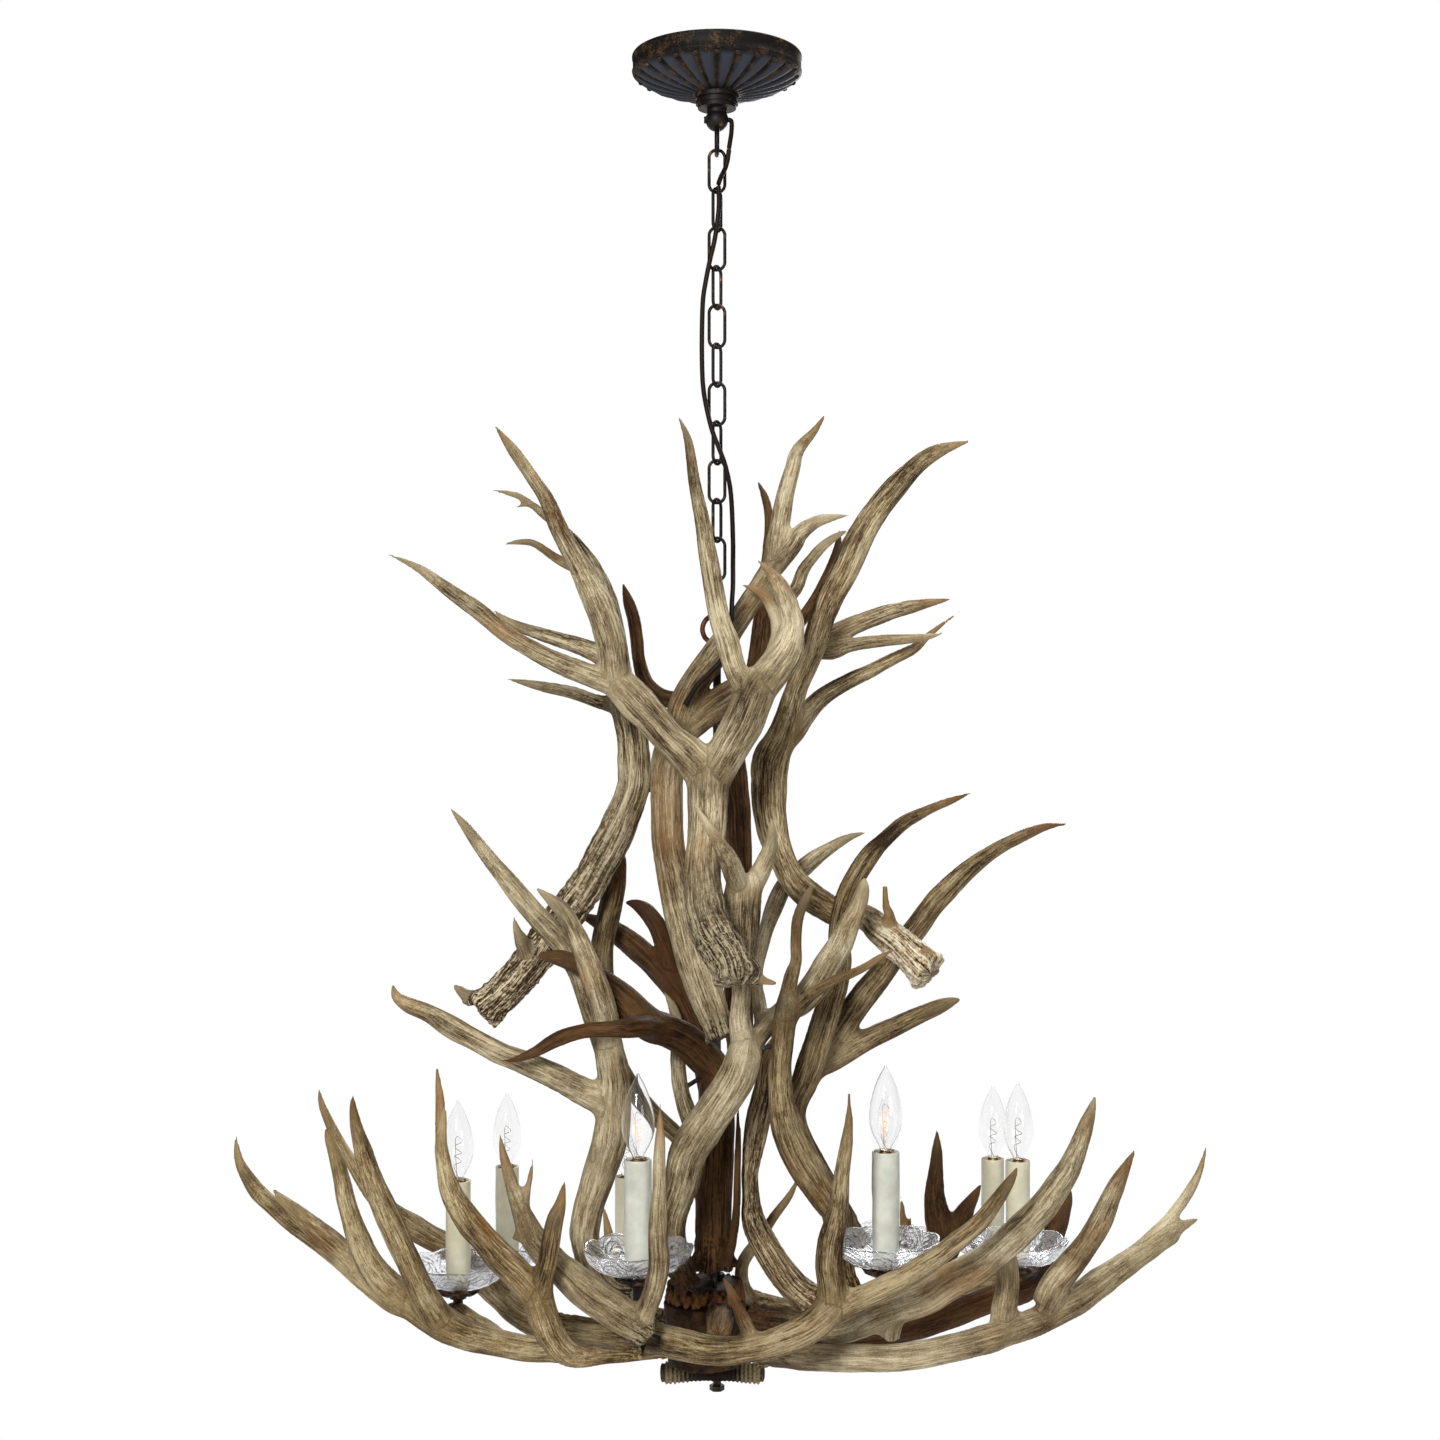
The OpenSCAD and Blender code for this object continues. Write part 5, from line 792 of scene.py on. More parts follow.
        [[694, 44, 1326, 15], [676, 80, 1326, 15], [656, 130, 1322, 14.5], [638, 180, 1314, 14],
         [626, 225, 1302, 14], [618, 250, 1296, 12], [612, 274, 1288, 10.5], [610, 290, 1266, 7.5],
         [609, 294, 1240, 5.5], [607, 295, 1225, 4], [603, 296, 1205, 1]]],
    "front_stub": [
        [[720, -56, 1316, 14], [720, -85, 1319, 14], [720, -118, 1322, 13.5], [719, -150, 1330, 13],
         [718, -180, 1337, 12]]],
}

# Look of each antler: its tone, seed, depth of the grooves and length of the rough base in metres
antlerLooks = {
    "crown_front": ("greyTan", 11, 0.9, 0.13),
    "crown_left": ("creamRidge", 12, 1.2, 0.3),
    "crown_right": ("creamPitted", 13, 1.0, 0.1),
    "crown_back": ("greyTan", 14, 0.9, 0.03),
    "crown_far": ("reddish", 15, 0.8, 0.03),
    "mid_palm": ("darkBase", 16, 0.9, 0.04),
    "mid_front": ("midBrown", 17, 1.0, 0.04),
    "mid_right": ("midBrown", 18, 0.8, 0.05),
    "mid_long": ("midBrown", 19, 0.7, 0.03),
    "mid_left": ("greyTan", 20, 1.0, 0.03),
    "trunk": ("umber", 21, 1.1, 0.06),
    "mid_back": ("umber", 22, 1.0, 0.03),
    "mid_slim": ("midBrown", 23, 0.7, 0.03),
    "mid_dark": ("paleStreak", 24, 1.3, 0.03),
    "bowl_front": ("midBrown", 26, 0.7, 0.03),
    "bowl_front_left": ("smoothTan", 27, 0.9, 0.03),
    "bowl_left_fork": ("warmTan", 28, 0.8, 0.03),
    "bowl_left_long": ("warmTan", 29, 0.8, 0.03),
    "bowl_back_left": ("warmTan", 30, 0.8, 0.03),
    "bowl_front_right": ("darkBase", 31, 0.9, 0.09),
    "bowl_right_long": ("smoothTan", 32, 0.8, 0.03),
    "bowl_right_dark": ("umber", 33, 0.8, 0.03),
    "bowl_right_palm": ("umber", 34, 0.9, 0.03),
    "bowl_back_right": ("warmTan", 35, 0.8, 0.03),
    "bowl_back": ("warmTan", 36, 0.8, 0.12),
    "front_stub": ("brownStub", 25, 1.1, 0.05),
}
antlerMake = {"sides": 14, "steps": 5, "thinnest": 0.0012, "voxel": 0.0021, "groove": 0.0008, "lump": 0.0009,
              "pearls": 17, "web": 0.011, "easing": 14, "batch": 4000, "tipLength": 0.055, "pointed": 0.006,
              "slimRadius": 0.012, "thinTine": 0.008, "melting": 3, "leastGrain": 0.004, "mostGrain": 0.015,
              "grainLength": 0.05, "grainStep": 0.37}
# Base of an antler, in shares of its radius: the rounded end, and the pearls round it
baseShares = {"end": 0.97, "bulge": 0.3, "inset": 0.16, "pearl": (0.15, 0.24), "reach": 0.95,
              "lift": (0.08, 0.3)}
# How close together the grooves and lumps of the antlers' shape are, in waves to the metre
antlerWaves = {"wide": 150, "fine": 330, "lump": 42, "knob": 170}


def guided(points, radii):
    # A line with its heading and a steady sideways direction at each point
    last = len(points) - 1
    headings = [(points[min(i + 1, last)] - points[max(i - 1, 0)]).normalized() for i in range(len(points))]
    side = headings[0].orthogonal().normalized()
    sides = []
    for heading in headings:
        side = (side - heading * side.dot(heading)).normalized()
        sides.append(side)
    return {"points": points, "radii": radii, "headings": headings, "sides": sides}


def spine(run):
    # Even samples along a run, with the length up to each
    steps = antlerMake["steps"]
    points = softLine([place(p) for p in run], steps)
    radii = softLine([Vector((girth(p), 0, 0)) for p in run], steps)
    line = guided(points, [max(v.x, antlerMake["thinnest"]) for v in radii])
    lengths = [0.0]
    for a, b in zip(points[:-1], points[1:]):
        lengths.append(lengths[-1] + (b - a).length)
    line["lengths"] = lengths
    return line


def turnAt(line, i):
    heading, side = line["headings"][i], line["sides"][i]
    return Matrix((side, heading.cross(side), heading)).transposed().to_4x4()


def frameAt(line, i):
    return (Matrix.Translation(line["points"][i]) @ turnAt(line, i)
            @ Matrix.Diagonal((line["radii"][i],) * 3 + (1,)))


def sweep(bm, line, segments):
    # A ring drawn out along the line, closed at both ends
    ring = bmesh.ops.create_circle(bm, cap_ends=True, radius=1, segments=segments)["verts"]
    bmesh.ops.transform(bm, matrix=frameAt(line, 0), verts=ring)
    edges = list({e for v in ring for e in v.link_edges})
    for i in range(1, len(line["points"])):
        drawn = bmesh.ops.extrude_edge_only(bm, edges=edges)["geom"]
        ring = [g for g in drawn if isinstance(g, bmesh.types.BMVert)]
        edges = [g for g in drawn if isinstance(g, bmesh.types.BMEdge) and all(v in ring for v in g.verts)]
        bmesh.ops.transform(bm, matrix=frameAt(line, i) @ frameAt(line, i - 1).inverted(), verts=ring)
    bmesh.ops.contextual_create(bm, geom=edges)


def coronet(bm, line, pearls, chance):
    # Irregular pearls round the base of the antler
    s = baseShares
    start, radius = line["points"][0], line["radii"][0]
    heading, side = line["headings"][0], line["sides"][0]
    flat = Matrix.Diagonal((radius * s["end"], radius * s["end"], radius * s["bulge"], 1))
    cap = Matrix.Translation(start + heading * radius * s["inset"]) @ turnAt(line, 0) @ flat
    bmesh.ops.create_icosphere(bm, subdivisions=4, radius=1, matrix=cap)
    for k in range(pearls):
        angle = (k + chance.uniform(-0.3, 0.3)) * math.tau / pearls
        out = side * math.cos(angle) + heading.cross(side) * math.sin(angle)
        size = radius * chance.uniform(*s["pearl"])
        centre = start + out * radius * s["reach"] + heading * radius * chance.uniform(*s["lift"])
        bmesh.ops.create_icosphere(bm, subdivisions=2, radius=size, matrix=Matrix.Translation(centre))


def antlerPiece(key, runs, look):
    tone, seed = look[:2]
    chance = random.Random(seed)
    lines = [spine(run) for run in runs]
    bm = bmesh.new()
    for line in lines:
        sweep(bm, line, antlerMake["sides"])
    coronet(bm, lines[0], antlerMake["pearls"], chance)
    bmesh.ops.recalc_face_normals(bm, faces=bm.faces)
    whole = melted(bm, antlerMake["voxel"], antlerMake["melting"])
    carve(whole, lines, look)
    return dressed(whole, key, tone, "hanging")


def nearestRun(corners, spots, radii, which):
    # For each corner the nearest sample, and how near it is to a second run, where two beams meet
    nearest = np.empty(len(corners), int)
    seam = np.zeros(len(corners))
    for first in range(0, len(corners), antlerMake["batch"]):
        part = slice(first, first + antlerMake["batch"])
        gap = np.linalg.norm(corners[part, None] - spots[None], axis=2) - radii[None]
        nearest[part] = np.argmin(gap, axis=1)
        other = np.where(which[nearest[part]][:, None] == which[None], 1.0, gap).min(axis=1)
        seam[part] = np.clip(1 - (other - gap.min(axis=1)) / antlerMake["web"], 0, 1)
    return nearest, seam


def fillWebs(mesh, corners, seam):
    # Ease the surface where beams meet, so that they flow into each other
    pairs = np.empty(len(mesh.edges) * 2, int)
    mesh.edges.foreach_get("vertices", pairs)
    a, b = pairs.reshape(-1, 2).T
    count = len(corners)
    degree = np.bincount(a, minlength=count) + np.bincount(b, minlength=count)
    for k in range(antlerMake["easing"]):
        sums = [np.bincount(a, corners[b, axis], count) + np.bincount(b, corners[a, axis], count)
                for axis in range(3)]
        total = np.stack(sums, axis=1)
        corners = corners + (total / degree[:, None] - corners) * (seam * 0.6)[:, None]
    mesh.vertices.foreach_set("co", corners.ravel())
    mesh.update()
    return corners


def waves(places, density, shift=(0, 0, 0)):
    # Noise at each place
    return np.array([noise.noise(p) for p in (places * density + shift).tolist()])


def carve(mesh, lines, look):
    # Each corner finds its place along and round its beam, then the grooves follow the beam
    seed, grooveShare, rough = look[1:]
    count = len(mesh.vertices)
    corners = np.empty(count * 3)
    mesh.vertices.foreach_get("co", corners)
    corners = corners.reshape(-1, 3)
    kinds = ("points", "radii", "headings", "sides", "lengths")
    spots, radii, heads, sides, along = [np.array([v for line in lines for v in line[kind]])
                                         for kind in kinds]
    ends = np.array([line["lengths"][-1] for line in lines for p in line["points"]])
    which = np.array([i for i, line in enumerate(lines) for p in line["points"]])
    pointed = np.array([line["radii"][-1] < antlerMake["pointed"] for line in lines for p in line["points"]])
    nearest, seam = nearestRun(corners, spots, radii, which)
    corners = fillWebs(mesh, corners, seam)
    normals = np.empty(count * 3)
    mesh.vertices.foreach_get("normal", normals)
    normals = normals.reshape(-1, 3)
    away = corners - spots[nearest]
    head, side = heads[nearest], sides[nearest]
    up = np.cross(head, side)
    angle = np.arctan2((away * up).sum(1), (away * side).sum(1))
    length = along[nearest] + (away * head).sum(1)
    toEnd = ends[nearest] - length
    tip = np.clip(1 - toEnd / antlerMake["tipLength"], 0, 1) * pointed[nearest]
    first = which[nearest] == 0
    rugged = np.clip(1.6 - 1.6 * length / rough, 0, 1) * first
    # Where the grain of the finish is read: round the beam and along it, apart for each run
    turnRadius = np.clip(radii[nearest], antlerMake["leastGrain"], antlerMake["mostGrain"])
    lengthwise = length * antlerMake["grainLength"] + which[nearest] * antlerMake["grainStep"] + seed
    grain = np.stack([np.cos(angle) * turnRadius, np.sin(angle) * turnRadius, lengthwise], axis=1)
    density = antlerWaves
    wide = np.maximum(0, 1 - abs(waves(grain, density["wide"])) * 5)
    fine = np.maximum(0, 1 - abs(waves(grain, density["fine"], (7, 0, 0))) * 4)
    groove = wide + 0.6 * fine
    lump = waves(corners, density["lump"], (0, 0, seed)) + 0.9 * rugged * waves(corners, density["knob"])
    depth = grooveShare * antlerMake["groove"] * (1 - 0.85 * tip) * (1 + 0.9 * rugged) * (1 - 0.8 * seam)
    slim = np.clip(radii[nearest] / antlerMake["slimRadius"], 0.15, 1)
    push = (-groove * depth + lump * antlerMake["lump"] * (1 + 1.2 * rugged)) * slim
    mesh.vertices.foreach_set("co", (corners + normals * push[:, None]).ravel())
    # The groove mark also darkens the finish along the grooves: painted shade
    marked(mesh, "groove", np.clip(groove * (1 - 0.8 * tip) * grooveShare, 0, 1))
    marked(mesh, "tip", tip)
    marked(mesh, "rugged", rugged)
    # Thin tines are as calm as the forks
    slender = antlerMake["thinTine"]
    marked(mesh, "seam", np.maximum(seam, np.clip((slender - radii[nearest]) / (slender / 2), 0, 0.9)))
    mesh.attributes.new("grain", "FLOAT_VECTOR", "POINT").data.foreach_set("vector", grain.ravel())
    mesh.update()


for key, runs in antlerRuns.items():
    look = antlerLooks[key]
    piece = antlerPiece(key, runs, look)
    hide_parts("antler_" + key)
    print(key, len(piece.data.polygons) * 2)
print("antlers made")


# Canopy: fluted dome with a knob at the outer end of each rib, in millimetres
canopySizes = {"petals": 24, "radius": 85, "band": 18, "drop": 20, "collar": 22.3, "hole": 5.4, "wall": 2.4,
               "relief": 0.005, "dip": 0.0008, "ribShare": 0.2, "ribWidth": 0.13, "rim": 3.4, "knob": 0.0027,
               "knobIn": 5.5, "knobDown": 1.6}


def canopyPiece():
    s = canopySizes
    r, band, low = s["radius"], -s["band"], -s["band"] - s["drop"]
    bm = bmesh.new()
    # The band, the dome below it as [in from the edge, down from the band], the foot, and the hollow inside
    edge = [(r - 0.6, 0), (r, -1), (r, -3), (r - 0.8, -4), (r - 0.8, band + 4), (r, band + 2.5),
            (r - 0.4, band + 1)]
    dome = [(3, 1), (5, 2), (8, 3.6), (12, 6), (17, 8.4), (23, 10.8), (30, 13), (38, 15.2), (46, 17),
            (54, 18.6)]
    foot = [(s["collar"] + 1, low), (s["hole"], low), (s["hole"], low + 2), (s["collar"], low + 2)]
    hollow = [(r - 42, band - 14), (r - 20, band - 7), (r - 4, band + 1), (r - s["wall"], -4),
              (r - s["wall"], 0)]
    outer = edge + [(r - inward, band - fall) for inward, fall in dome]
    spunProfile(bm, outer + foot + hollow + [edge[0]], s["petals"] * 10)
    ribs, petals = [], []
    for v in bm.verts:
        flat = math.hypot(v.co.x, v.co.y) * 1000
        swell = abs(math.sin(math.atan2(v.co.y, v.co.x) * s["petals"] / 2))
        share = 0
        if flat > s["collar"] + 1.5 and v.co.z * 1000 < band - 0.5:
            share = unit((flat - s["collar"]) / 14) * unit((r - s["rim"] - flat) / 4)
            v.co.z += s["relief"] * (1 - swell ** 0.7) * share - s["dip"] * share
        ring = 0.6 if abs(flat - s["collar"] - 1) < 1.2 else 0
        ribs.append(share * math.exp(-((swell - s["ribShare"] * 1.5) / s["ribWidth"]) ** 2) + ring)
        # How far onto the crown of a petal: the finish paints sheen on the crowns and shade in the grooves
        petals.append(share * unit((swell - s["ribShare"] * 1.6) * 1.9))
    piece = finished(bm, "canopyShell", "canopy", "ceiling")
    marked(piece.data, "rib", ribs)
    marked(piece.data, "petal", petals)
    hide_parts("canopy")
    knobs = bmesh.new()
    for k in range(s["petals"]):
        angle = k * math.tau / s["petals"]
        reach = r - s["knobIn"]
        at = Vector((math.cos(angle) * reach, math.sin(angle) * reach, band - s["knobDown"])) / 1000
        stretch = Matrix.Rotation(angle, 4, "Z") @ Matrix.Diagonal((1, 1.25, 0.9, 1))
        spot = Matrix.Translation(at) @ stretch
        bmesh.ops.create_uvsphere(knobs, u_segments=14, v_segments=9, radius=s["knob"], matrix=spot)
    finished(knobs, "canopyKnobs", "bronzeGold", "ceiling")


canopyPiece()
print("canopy made")


# Lights: a lamp in a waxy sleeve, on a glass dish, over a leaf cup
lightPlaces = [
    [458, 0, 1180], [507, 180, 1166], [638, -150, 1159], [626, 230, 1176],
    [885.5, -150, 1151], [993, 200, 1158], [1018, 60, 1160], [885, 262, 1160]]
litLamps = (3, 5)
stemHole = 5.1
sleeveSizes = {"radius": 12.2, "height": 100, "wall": 1, "segments": 40, "rings": 34, "drips": 7, "drip": 0.9,
               "waver": 0.25, "fullest": 1.2, "reach": (0.25, 0.95), "width": (0.25, 0.42), "cream": 0.7}
dishSizes = {"radius": 52, "height": 24, "lobes": 9, "relief": 0.0006, "swirls": 400, "notch": 0.0026,
             "droop": 0.0022, "rosettes": 0.044, "hang": 0.104}
cupSizes = {"radius": 22.5, "height": 14, "leaves": 8, "droop": 0.0038, "vein": 0.0006, "notch": 0.26,
            "hang": 0.118}
bulbSizes = {"segments": 36, "wall": 0.0005, "threads": 12, "wire": 0.00028, "wireFoot": (0.0012, 0, 0.002),
             "wireTurns": 9, "wireAside": 4.2, "wireDepth": 2.2, "wireLow": 14, "wireStep": 3.4,
             "hotMiddle": 0.027, "hotReach": 0.013}


def sleevePiece(at, number):
    s = sleeveSizes
    radius, height = s["radius"], s["height"]
    bore = radius - s["wall"]
    chance = random.Random(number)
    bm = bmesh.new()
    wall = [(radius, height * k / s["rings"] - height) for k in range(s["rings"])]
    lip = [(radius - 0.1, -0.5), (radius - 0.5, 0), (bore + 0.1, -0.2), (bore, -1.5), (bore, -height * 0.5)]
    spunProfile(bm, [(bore, -height)] + wall + lip + [(bore, -height)], s["segments"])
    # Runs of wax: the angle, how far down each reaches, and its width
    drips = []
    for k in range(s["drips"]):
        drips.append((chance.uniform(0, math.tau), chance.uniform(*s["reach"]), chance.uniform(*s["width"])))
    for v in bm.verts:
        if math.hypot(v.co.x, v.co.y) > (radius - 0.6) / 1000:
            angle = math.atan2(v.co.y, v.co.x)
            down = -v.co.z * 1000 / height
            turn = (math.cos(angle) * 1.4, math.sin(angle) * 1.4, v.co.z * 40 + number)
            swell = s["waver"] * noise.noise(turn)
            for where, reach, width in drips:
                off = math.atan2(math.sin(angle - where), math.cos(angle - where)) / width
                fullness = unit((reach - down) * 9 + 0.4) * (0.55 + 0.45 * down / reach)
                swell += s["drip"] * math.exp(-off * off) * fullness
            widened(v, 1 + min(swell, s["fullest"]) / radius)
    bmesh.ops.translate(bm, vec=at, verts=bm.verts)
    cream = bm.verts.layers.float.new("cream")
    for v in bm.verts:
        v[cream] = 0.0 if number in litLamps else s["cream"]
    return finished(bm, "candleSleeve%d" % number, "wax", "hanging")


def dishPiece(at, number):
    s = dishSizes
    r, top = s["radius"], s["height"]
    bm = bmesh.new()
    under = [(stemHole, 0), (14, 0), (20, 0.1), (26, 0.5), (31, 1.2), (35, 2.3), (39, 4.2), (42.5, 6.6),
             (45.5, 9.6), (48, 13), (49.8, 16.6), (51.2, 20.4)]
    edge = [(r, 23.4), (r - 0.6, top), (r - 2, top - 0.2), (r - 3.4, 20.8), (r - 5, 17.4)]
    inside = [(45, 13.6), (42.4, 10.6), (39.4, 8.2), (35.6, 6.4), (31, 5.2), (26, 4.5), (20, 4.1), (12, 4),
              (stemHole, 4)]
    spunProfile(bm, under + edge + inside + [under[0]], s["lobes"] * 16)
    lobeMark = bm.verts.layers.float_vector.new("lobe")
    rimHighlightMark = bm.verts.layers.float.new("rim")
    for v in bm.verts:
        flat = math.hypot(v.co.x, v.co.y)
        angle = math.atan2(v.co.y, v.co.x)
        # Place in the nearest rosette, and how near the rim, whose top the finish whitens as a painted
        # highlight
        turn = (angle + 2 * number / s["lobes"]) * s["lobes"] / math.tau
        aside = abs(turn - round(turn)) * math.tau / s["lobes"] * flat
        v[lobeMark] = (aside, abs(flat - s["rosettes"]) + v.co.z * 0.5, 0)
        v[rimHighlightMark] = unit((v.co.z - 0.019) / 0.003)
        # Lobes of the edge, and the pressed swirls
        share = unit((flat - 0.016) / 0.034)
        lobe = abs(math.cos(angle * s["lobes"] / 2 + number))
        curl = noise.noise((math.cos(angle) * 2.2, math.sin(angle) * 2.2, flat * 60 + number))
        swirl = math.sin(flat * s["swirls"] + angle * s["lobes"] + curl * 5) * min(1, share * 2.5)
        rise = max(0, (v.co.z - 0.014) / 0.01)
        widened(v, 1 - s["notch"] * share * (1 - lobe) / max(flat, 0.01))
        v.co.z += swirl * s["relief"] * (1 - 0.6 * rise) - s["droop"] * rise * (1 - lobe)
        v.co.z = min(max(v.co.z, 0.0), top / 1000)
    bmesh.ops.translate(bm, vec=at + Vector((0, 0, -s["hang"])), verts=bm.verts)
    return finished(bm, "glassDish%d" % number, "dishGlass", "hanging")


def cupPiece(at, number):
    s = cupSizes
    r, top = s["radius"], s["height"]
    bm = bmesh.new()
    foot = [(stemHole, 0), (8.4, 0), (8.6, 1.4), (7.4, 2.8), (8.6, 3.9)]
    leaves = [(13, 4.4), (17.5, 5), (21, 6.4), (r, 8.4), (r - 1, 9.2), (18, 8.6), (13, 9.4)]
    spunProfile(bm, foot + leaves + [(9, 12.6), (8, top), (stemHole, top), foot[0]], s["leaves"] * 12)
    for v in bm.verts:
        flat = math.hypot(v.co.x, v.co.y) * 1000
        angle = math.atan2(v.co.y, v.co.x) + number
        share = max(0, (flat - 9) / (r - 9))
        leaf = abs(math.cos(angle * s["leaves"] / 2))
        vein = 0.35 * abs(math.cos(angle * s["leaves"] * 2))
        v.co.z -= s["droop"] * share * (1 - leaf ** 0.6) - s["vein"] * share * vein
        widened(v, 1 - s["notch"] * share * (1 - leaf) ** 1.5)
    bmesh.ops.translate(bm, vec=at + Vector((0, 0, -s["hang"])), verts=bm.verts)
    return finished(bm, "leafCup%d" % number, "leafBronze", "hanging")


def joined(pieces):
    # Several pieces of one finish, kept as one
    bm = bmesh.new()
    for piece in pieces:
        bm.from_mesh(piece.data)
        bpy.data.objects.remove(piece)
    return bm


def bulbPiece(at, number):
    s = bulbSizes
    body = "lamp_%d" % number
    bm = bmesh.new()
    flame = [(0, 0.4), (4, 0.2), (5.6, 2), (5.8, 4), (8.2, 8), (11.4, 14), (13.9, 20), (15.3, 26), (15.6, 31),
             (15.3, 38), (14.2, 45), (12.6, 52), (10.4, 59), (7.6, 66), (4.9, 71.5), (2.8, 75), (1.8, 76.8),
             (1.5, 78), (0.9, 79.1), (0, 79.4)]
    spunProfile(bm, flame, s["segments"])
    bmesh.ops.translate(bm, vec=at, verts=bm.verts)
    glass = finished(bm, "bulbGlass%d" % number, "bulbGlass", body)
    shell = glass.modifiers.new("wall", "SOLIDIFY")
    shell.thickness = s["wall"]
    shell.offset = -1
    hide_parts("bulb_%d" % number)
    cap = bmesh.new()
    foot = [(0, -28.4), (2.6, -28.2), (3.2, -26), (5.2, -25)]
    thread = [(5.55 + 0.3 * (k % 2), k * 1.9 - 24) for k in range(s["threads"])]
    spunProfile(cap, foot + thread + [(5.7, -0.8), (5.4, 0.2), (0, 0.2)], 28)
    bmesh.ops.translate(cap, vec=at, verts=cap.verts)
    finished(cap, "bulbCap%d" % number, "brass", body)
    # The wire zigzags up from one end of its foot to the other, and glows in the middle
    wire = bmesh.new()
    aside, back, up = s["wireFoot"]
    line = [Vector((aside, back, up))]
    for k in range(s["wireTurns"]):
        sway = s["wireAside"] * math.cos(k * 0.9) * (1 if k % 2 else -1)
        line.append(Vector((sway, s["wireDepth"] * math.sin(k * 1.1),
                            s["wireLow"] + k * s["wireStep"])) / 1000)
    line = softLine(line + [Vector((-aside, back, up))], 4)
    sweep(wire, guided(line, [s["wire"]] * len(line)), 5)
    hot = wire.verts.layers.float.new("hot")
    for v in wire.verts:
        v[hot] = max(0, 1 - abs(v.co.z - s["hotMiddle"]) / s["hotReach"])
    bmesh.ops.translate(wire, vec=at, verts=wire.verts)
    finish = "litWire" if number in litLamps else "coldWire"
    finished(wire, "bulbWire%d" % number, finish, body)


# Things of one kind at every light are kept as one piece: the part's node, the finish and the slot
lightMakers = {"sleeve": sleevePiece, "dish": dishPiece, "cup": cupPiece}
lightKinds = {
    "sleeve": ("candle_sleeves", "wax", "candle_wax"),
    "dish": ("glass_dishes", "dishGlass", "dish_glass"),
    "cup": ("leaf_cups", "leafBronze", "bronze"),
}
made = {kind: [] for kind in lightKinds}
for number, spot in enumerate(lightPlaces, 1):
    at = place(spot)
    for kind, maker in lightMakers.items():
        made[kind].append(maker(at, number))
    bulbPiece(at, number)
for kind, (node, finish, slot) in lightKinds.items():
    piece = finished(joined(made[kind]), kind + "s", finish, "hanging")
    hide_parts(node)
print("lights made")


# Hub: a rough ring of pearls over a dark block, and two small burrs below, seen edge on
hubAt = Vector((-0.012, -0.010, 0))
hubSizes = {"core": 0.036, "taper": 0.002, "pearls": 30, "rows": 3, "firstRow": 0.0035, "rowStep": 0.0056,
            "proud": 0.0012, "lean": 0.001, "pearl": (0.0024, 0.0036), "stretch": (1.2, 1.9),
            "blockFoot": 0.037, "blockTop": 0.0412}
rollSizes = {"ends": (-0.057, 0.048), "ridges": 25, "core": 0.0078, "waist": 0.0086, "radius": 0.0118,
             "ridge": 0.0025, "last": 0.82, "dark": 0.02}
rollMiddle = sum(rollSizes["ends"]) / 2
rollLow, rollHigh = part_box("bottom_burrs")
rollLevel = (rollLow.z + rollHigh.z) / 2


def cone(bm, sides, foot, top, depth, spot):
    bmesh.ops.create_cone(bm, cap_ends=True, segments=sides, radius1=foot, radius2=top, depth=depth,
                          matrix=spot)


def ringLumps(bm):
    # Long pearls leaning out all round, over a second and a third row
    s = hubSizes
    low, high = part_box("hub_burr_ring")
    core, pearls = s["core"], s["pearls"]
    chance = random.Random(5)
    middle = Matrix.Translation(hubAt + Vector((0, 0, (low.z + high.z) / 2)))
    cone(bm, 40, core, core - s["taper"], (high.z - low.z) * 0.82, middle)
    for row in range(s["rows"]):
        for k in range(pearls):
            angle = (k + 0.5 * row + chance.uniform(-0.25, 0.25)) * math.tau / pearls
            reach = core + s["proud"] - s["lean"] * row
            level = low.z + s["firstRow"] + row * s["rowStep"]
            at = hubAt + Vector((math.cos(angle) * reach, math.sin(angle) * reach, level))
            size = chance.uniform(*s["pearl"])
            spot = Matrix.Translation(at) @ Matrix.Diagonal((1, 1, chance.uniform(*s["stretch"]), 1))
            bmesh.ops.create_icosphere(bm, subdivisions=2, radius=size, matrix=spot)


def ringRim(at):
    return unit(((at - hubAt).xy.length - hubSizes["core"] - 0.0008) / 0.0026)


def blockLumps(bm):
    low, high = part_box("hub_block")
    middle = Matrix.Translation(hubAt + Vector((0, 0, (low.z + high.z) / 2)))
    cone(bm, 48, hubSizes["blockFoot"], hubSizes["blockTop"], high.z - low.z - 0.001, middle)


def blockRim(at):
    return max(0, noise.noise(at * 60) * 1.4)


def rollLumps(bm):
    # Ridges side by side round a common axis, widest at the ends
    s = rollSizes
    chance = random.Random(9)
    half = (s["ends"][1] - s["ends"][0]) / 2
    lying = Matrix.Translation((rollMiddle, 0, rollLevel)) @ Matrix.Rotation(math.radians(90), 4, "Y")
    cone(bm, 24, s["core"], s["core"], half * 2 - 0.006, lying)
    for k in range(s["ridges"]):
        off = 2 * k / (s["ridges"] - 1) - 1
        flare = min(1, (off * 1.25) ** 2)
        last = s["last"] if abs(off) > 0.99 else 1
        wide = (s["waist"] + (s["radius"] - s["waist"]) * flare) * last * chance.uniform(0.95, 1.0)
        at = Matrix.Translation((rollMiddle + off * (half - s["ridge"]), 0, rollLevel))
        spot = at @ Matrix.Diagonal((s["ridge"], wide, wide, 1))
        bmesh.ops.create_uvsphere(bm, u_segments=24, v_segments=12, radius=1, matrix=spot)


def rollRim(at):
    ends = unit((abs(at.x - rollMiddle) - rollSizes["dark"]) / 0.01)
    return (0.25 + 0.75 * ends) * unit((math.hypot(at.y, at.z - rollLevel) - 0.0082) / 0.0022)


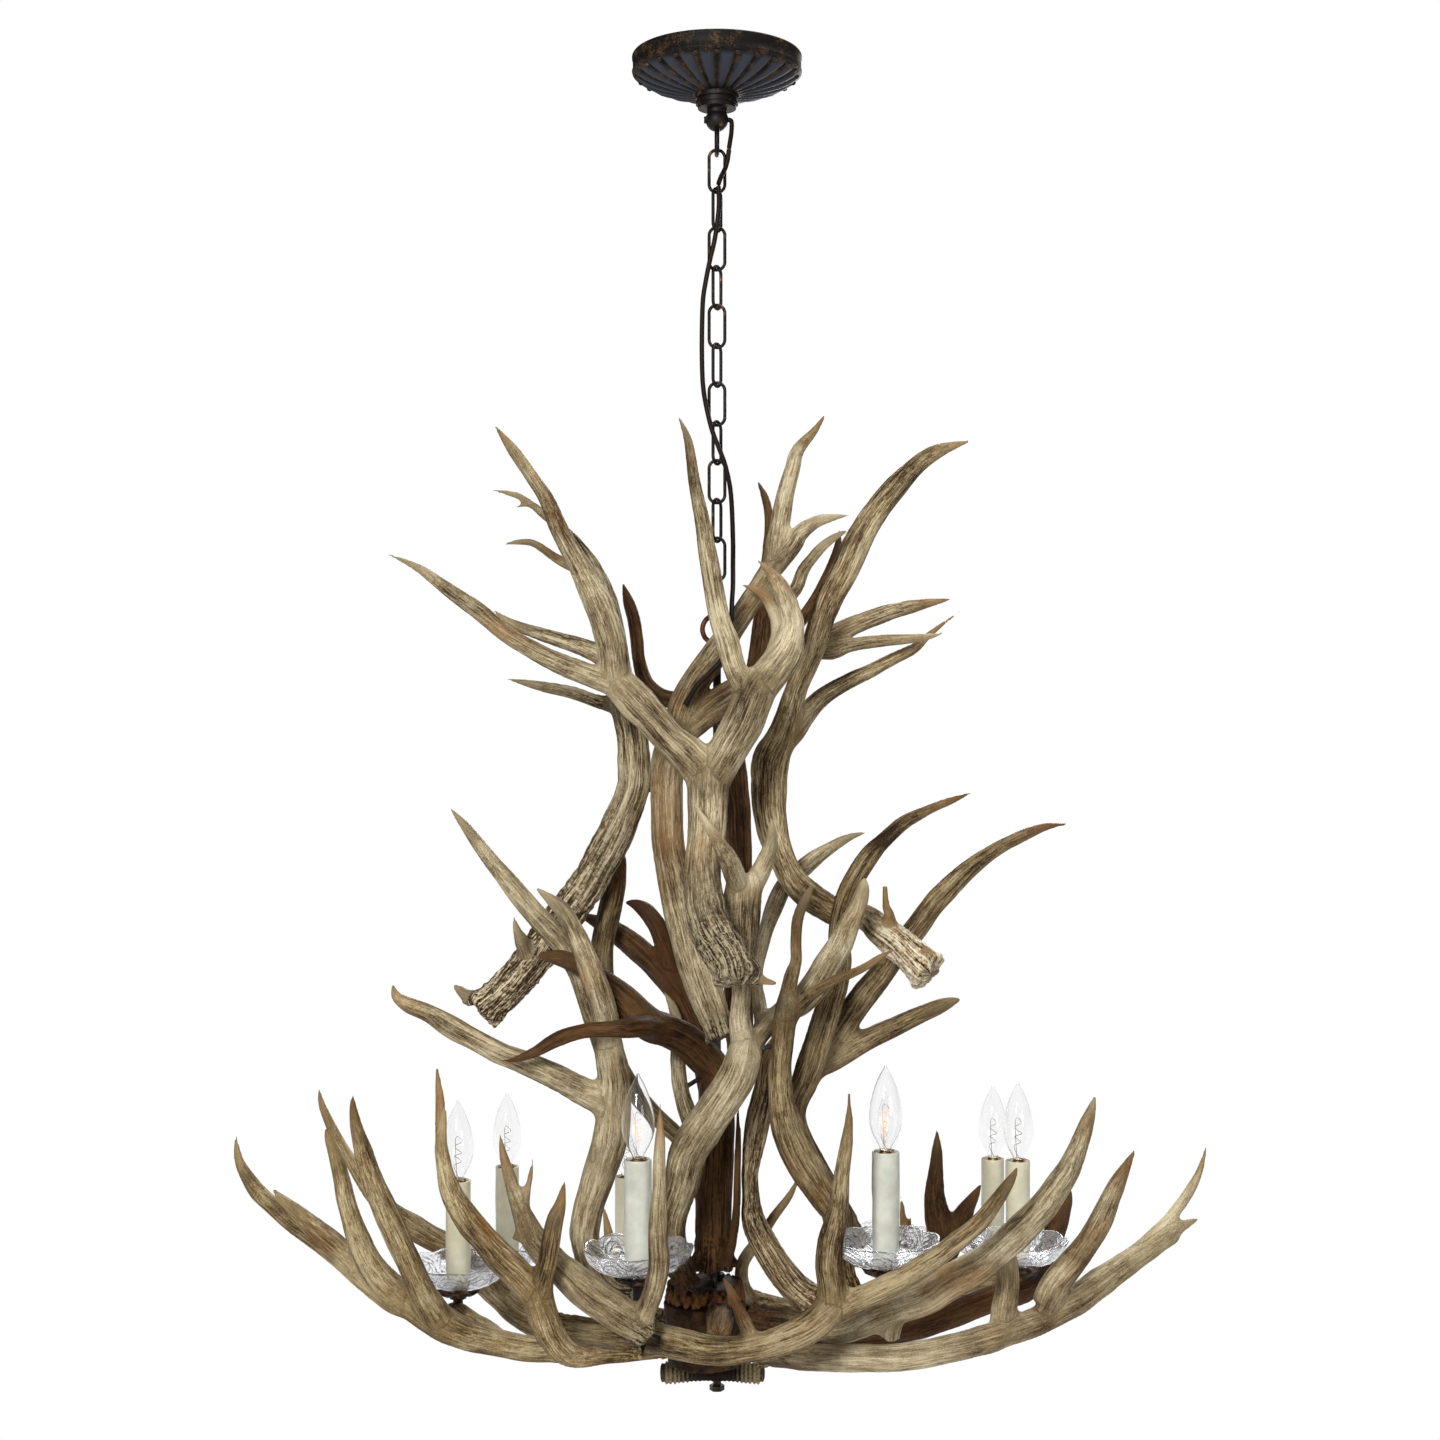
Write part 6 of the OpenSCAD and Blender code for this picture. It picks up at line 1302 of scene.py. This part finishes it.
# Each block: its node of the part, finish, slot, solids, rim, voxel size, height of its lumps and seed
hubBlocks = {
    "hubPearls": ("hub_burr_ring", "redBurr", "burr", ringLumps, ringRim, 0.0011, 0.0005, 1),
    "hubCore": ("hub_block", "darkBurr", "dark_burr", blockLumps, blockRim, 0.002, 0.0012, 2),
    "bottomRolls": ("bottom_burrs", "rollBurr", "dark_burr", rollLumps, rollRim, 0.0009, 0.0003, 3),
}
hubMelting = 2
for name, (node, finish, slot, lumps, rim, voxel, push, seed) in hubBlocks.items():
    bm = bmesh.new()
    lumps(bm)
    whole = melted(bm, voxel, hubMelting)
    for v in whole.vertices:
        v.co += v.normal * push * (noise.noise(v.co * 90 + Vector((seed, 0, 0)))
                                   + 0.5 * noise.noise(v.co * 240))
    marked(whole, "rim", [rim(v.co) for v in whole.vertices])
    piece = dressed(whole, name, finish, "hanging")
    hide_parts(node)

# CAD nodes that keep their own shape
nodeFinishes = {
    "bronze": ["ceiling_bracket", "collar_ring", "canopy_loop", "chain_link_top", "chain_links",
               "light_stems"],
    "brass": ["bracket_nipple", "nipple_locknut"],
    "redBronze": ["lower_loop"],
    "steel": ["centre_rod", "rod_nuts", "antler_screws"],
    "yellowCap": ["wire_nuts"],
    "blackSocket": ["lamp_sockets"],
}
for finish, names in nodeFinishes.items():
    for name in names:
        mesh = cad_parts[name].data
        mesh.materials.clear()
        mesh.materials.append(finishes[finish])
print("hub and frame finished")


# Studio: pale floor, white all round for the camera, soft lamps
studio = {"floor": 12, "level": -1.95, "sky": 0.08, "aim": (0, 0, -0.9)}


def seenBy(finish, rays):
    # One for rays of these kinds, nothing for the rest
    path = finish.make("ShaderNodeLightPath")
    total = 0
    for ray in rays:
        total = Value(finish, path.outputs["Is %s Ray" % ray]) + total
    return total.clamp()


def stagePlane():
    bm = bmesh.new()
    bmesh.ops.create_grid(bm, x_segments=1, y_segments=1, size=studio["floor"])
    bmesh.ops.translate(bm, vec=(0, 0, studio["level"]), verts=bm.verts)
    mesh = bpy.data.meshes.new("floor")
    bm.to_mesh(mesh)
    bm.free()
    floor = bpy.data.objects.new("floor", mesh)
    scene.collection.objects.link(floor)
    paint = Finish("paleFloor", Base_Color=(0.8, 0.8, 0.8, 1), Roughness=0.9)
    seen = seenBy(paint, ("Camera", "Glossy", "Transmission"))
    white = paint.make("ShaderNodeEmission", {}, {"Color": (1, 1, 1, 1), "Strength": 1.0})
    both = paint.make("ShaderNodeMixShader", {}, {0: seen, 1: paint.shader.outputs[0], 2: white.outputs[0]})
    paint.links.new(both.outputs[0], paint.nodes["Material Output"].inputs[0])
    mesh.materials.append(paint.material)


def studioWorld():
    # White where the camera or clear glass looks, and a plain level of light elsewhere
    scene.world = bpy.data.worlds.new("studio")
    sky = Finish("sky", owner=scene.world, Color=(1, 1, 1, 1))
    seen = seenBy(sky, ("Camera", "Transmission"))
    sky.set(Strength=seen * (1 - studio["sky"]) + studio["sky"])


def lamp(name, at, power, size):
    light = bpy.data.lights.new(name, "AREA")
    light.energy = power
    light.size = size
    piece = bpy.data.objects.new(name, light)
    scene.collection.objects.link(piece)
    piece.location = at
    piece.rotation_euler = (Vector(studio["aim"]) - Vector(at)).to_track_quat("-Z", "Y").to_euler()


stagePlane()
studioWorld()
lamp("keyLamp", (-0.8, -2.6, 0.2), 76, 0.7)
lamp("fillLamp", (1.5, -2.2, -0.7), 15, 1.0)
lamp("topLamp", (0.5, 0.1, 1.2), 32, 1.2)
lamp("backLamp", (0.7, 2.4, 0.1), 42, 1.2)
print("studio made")
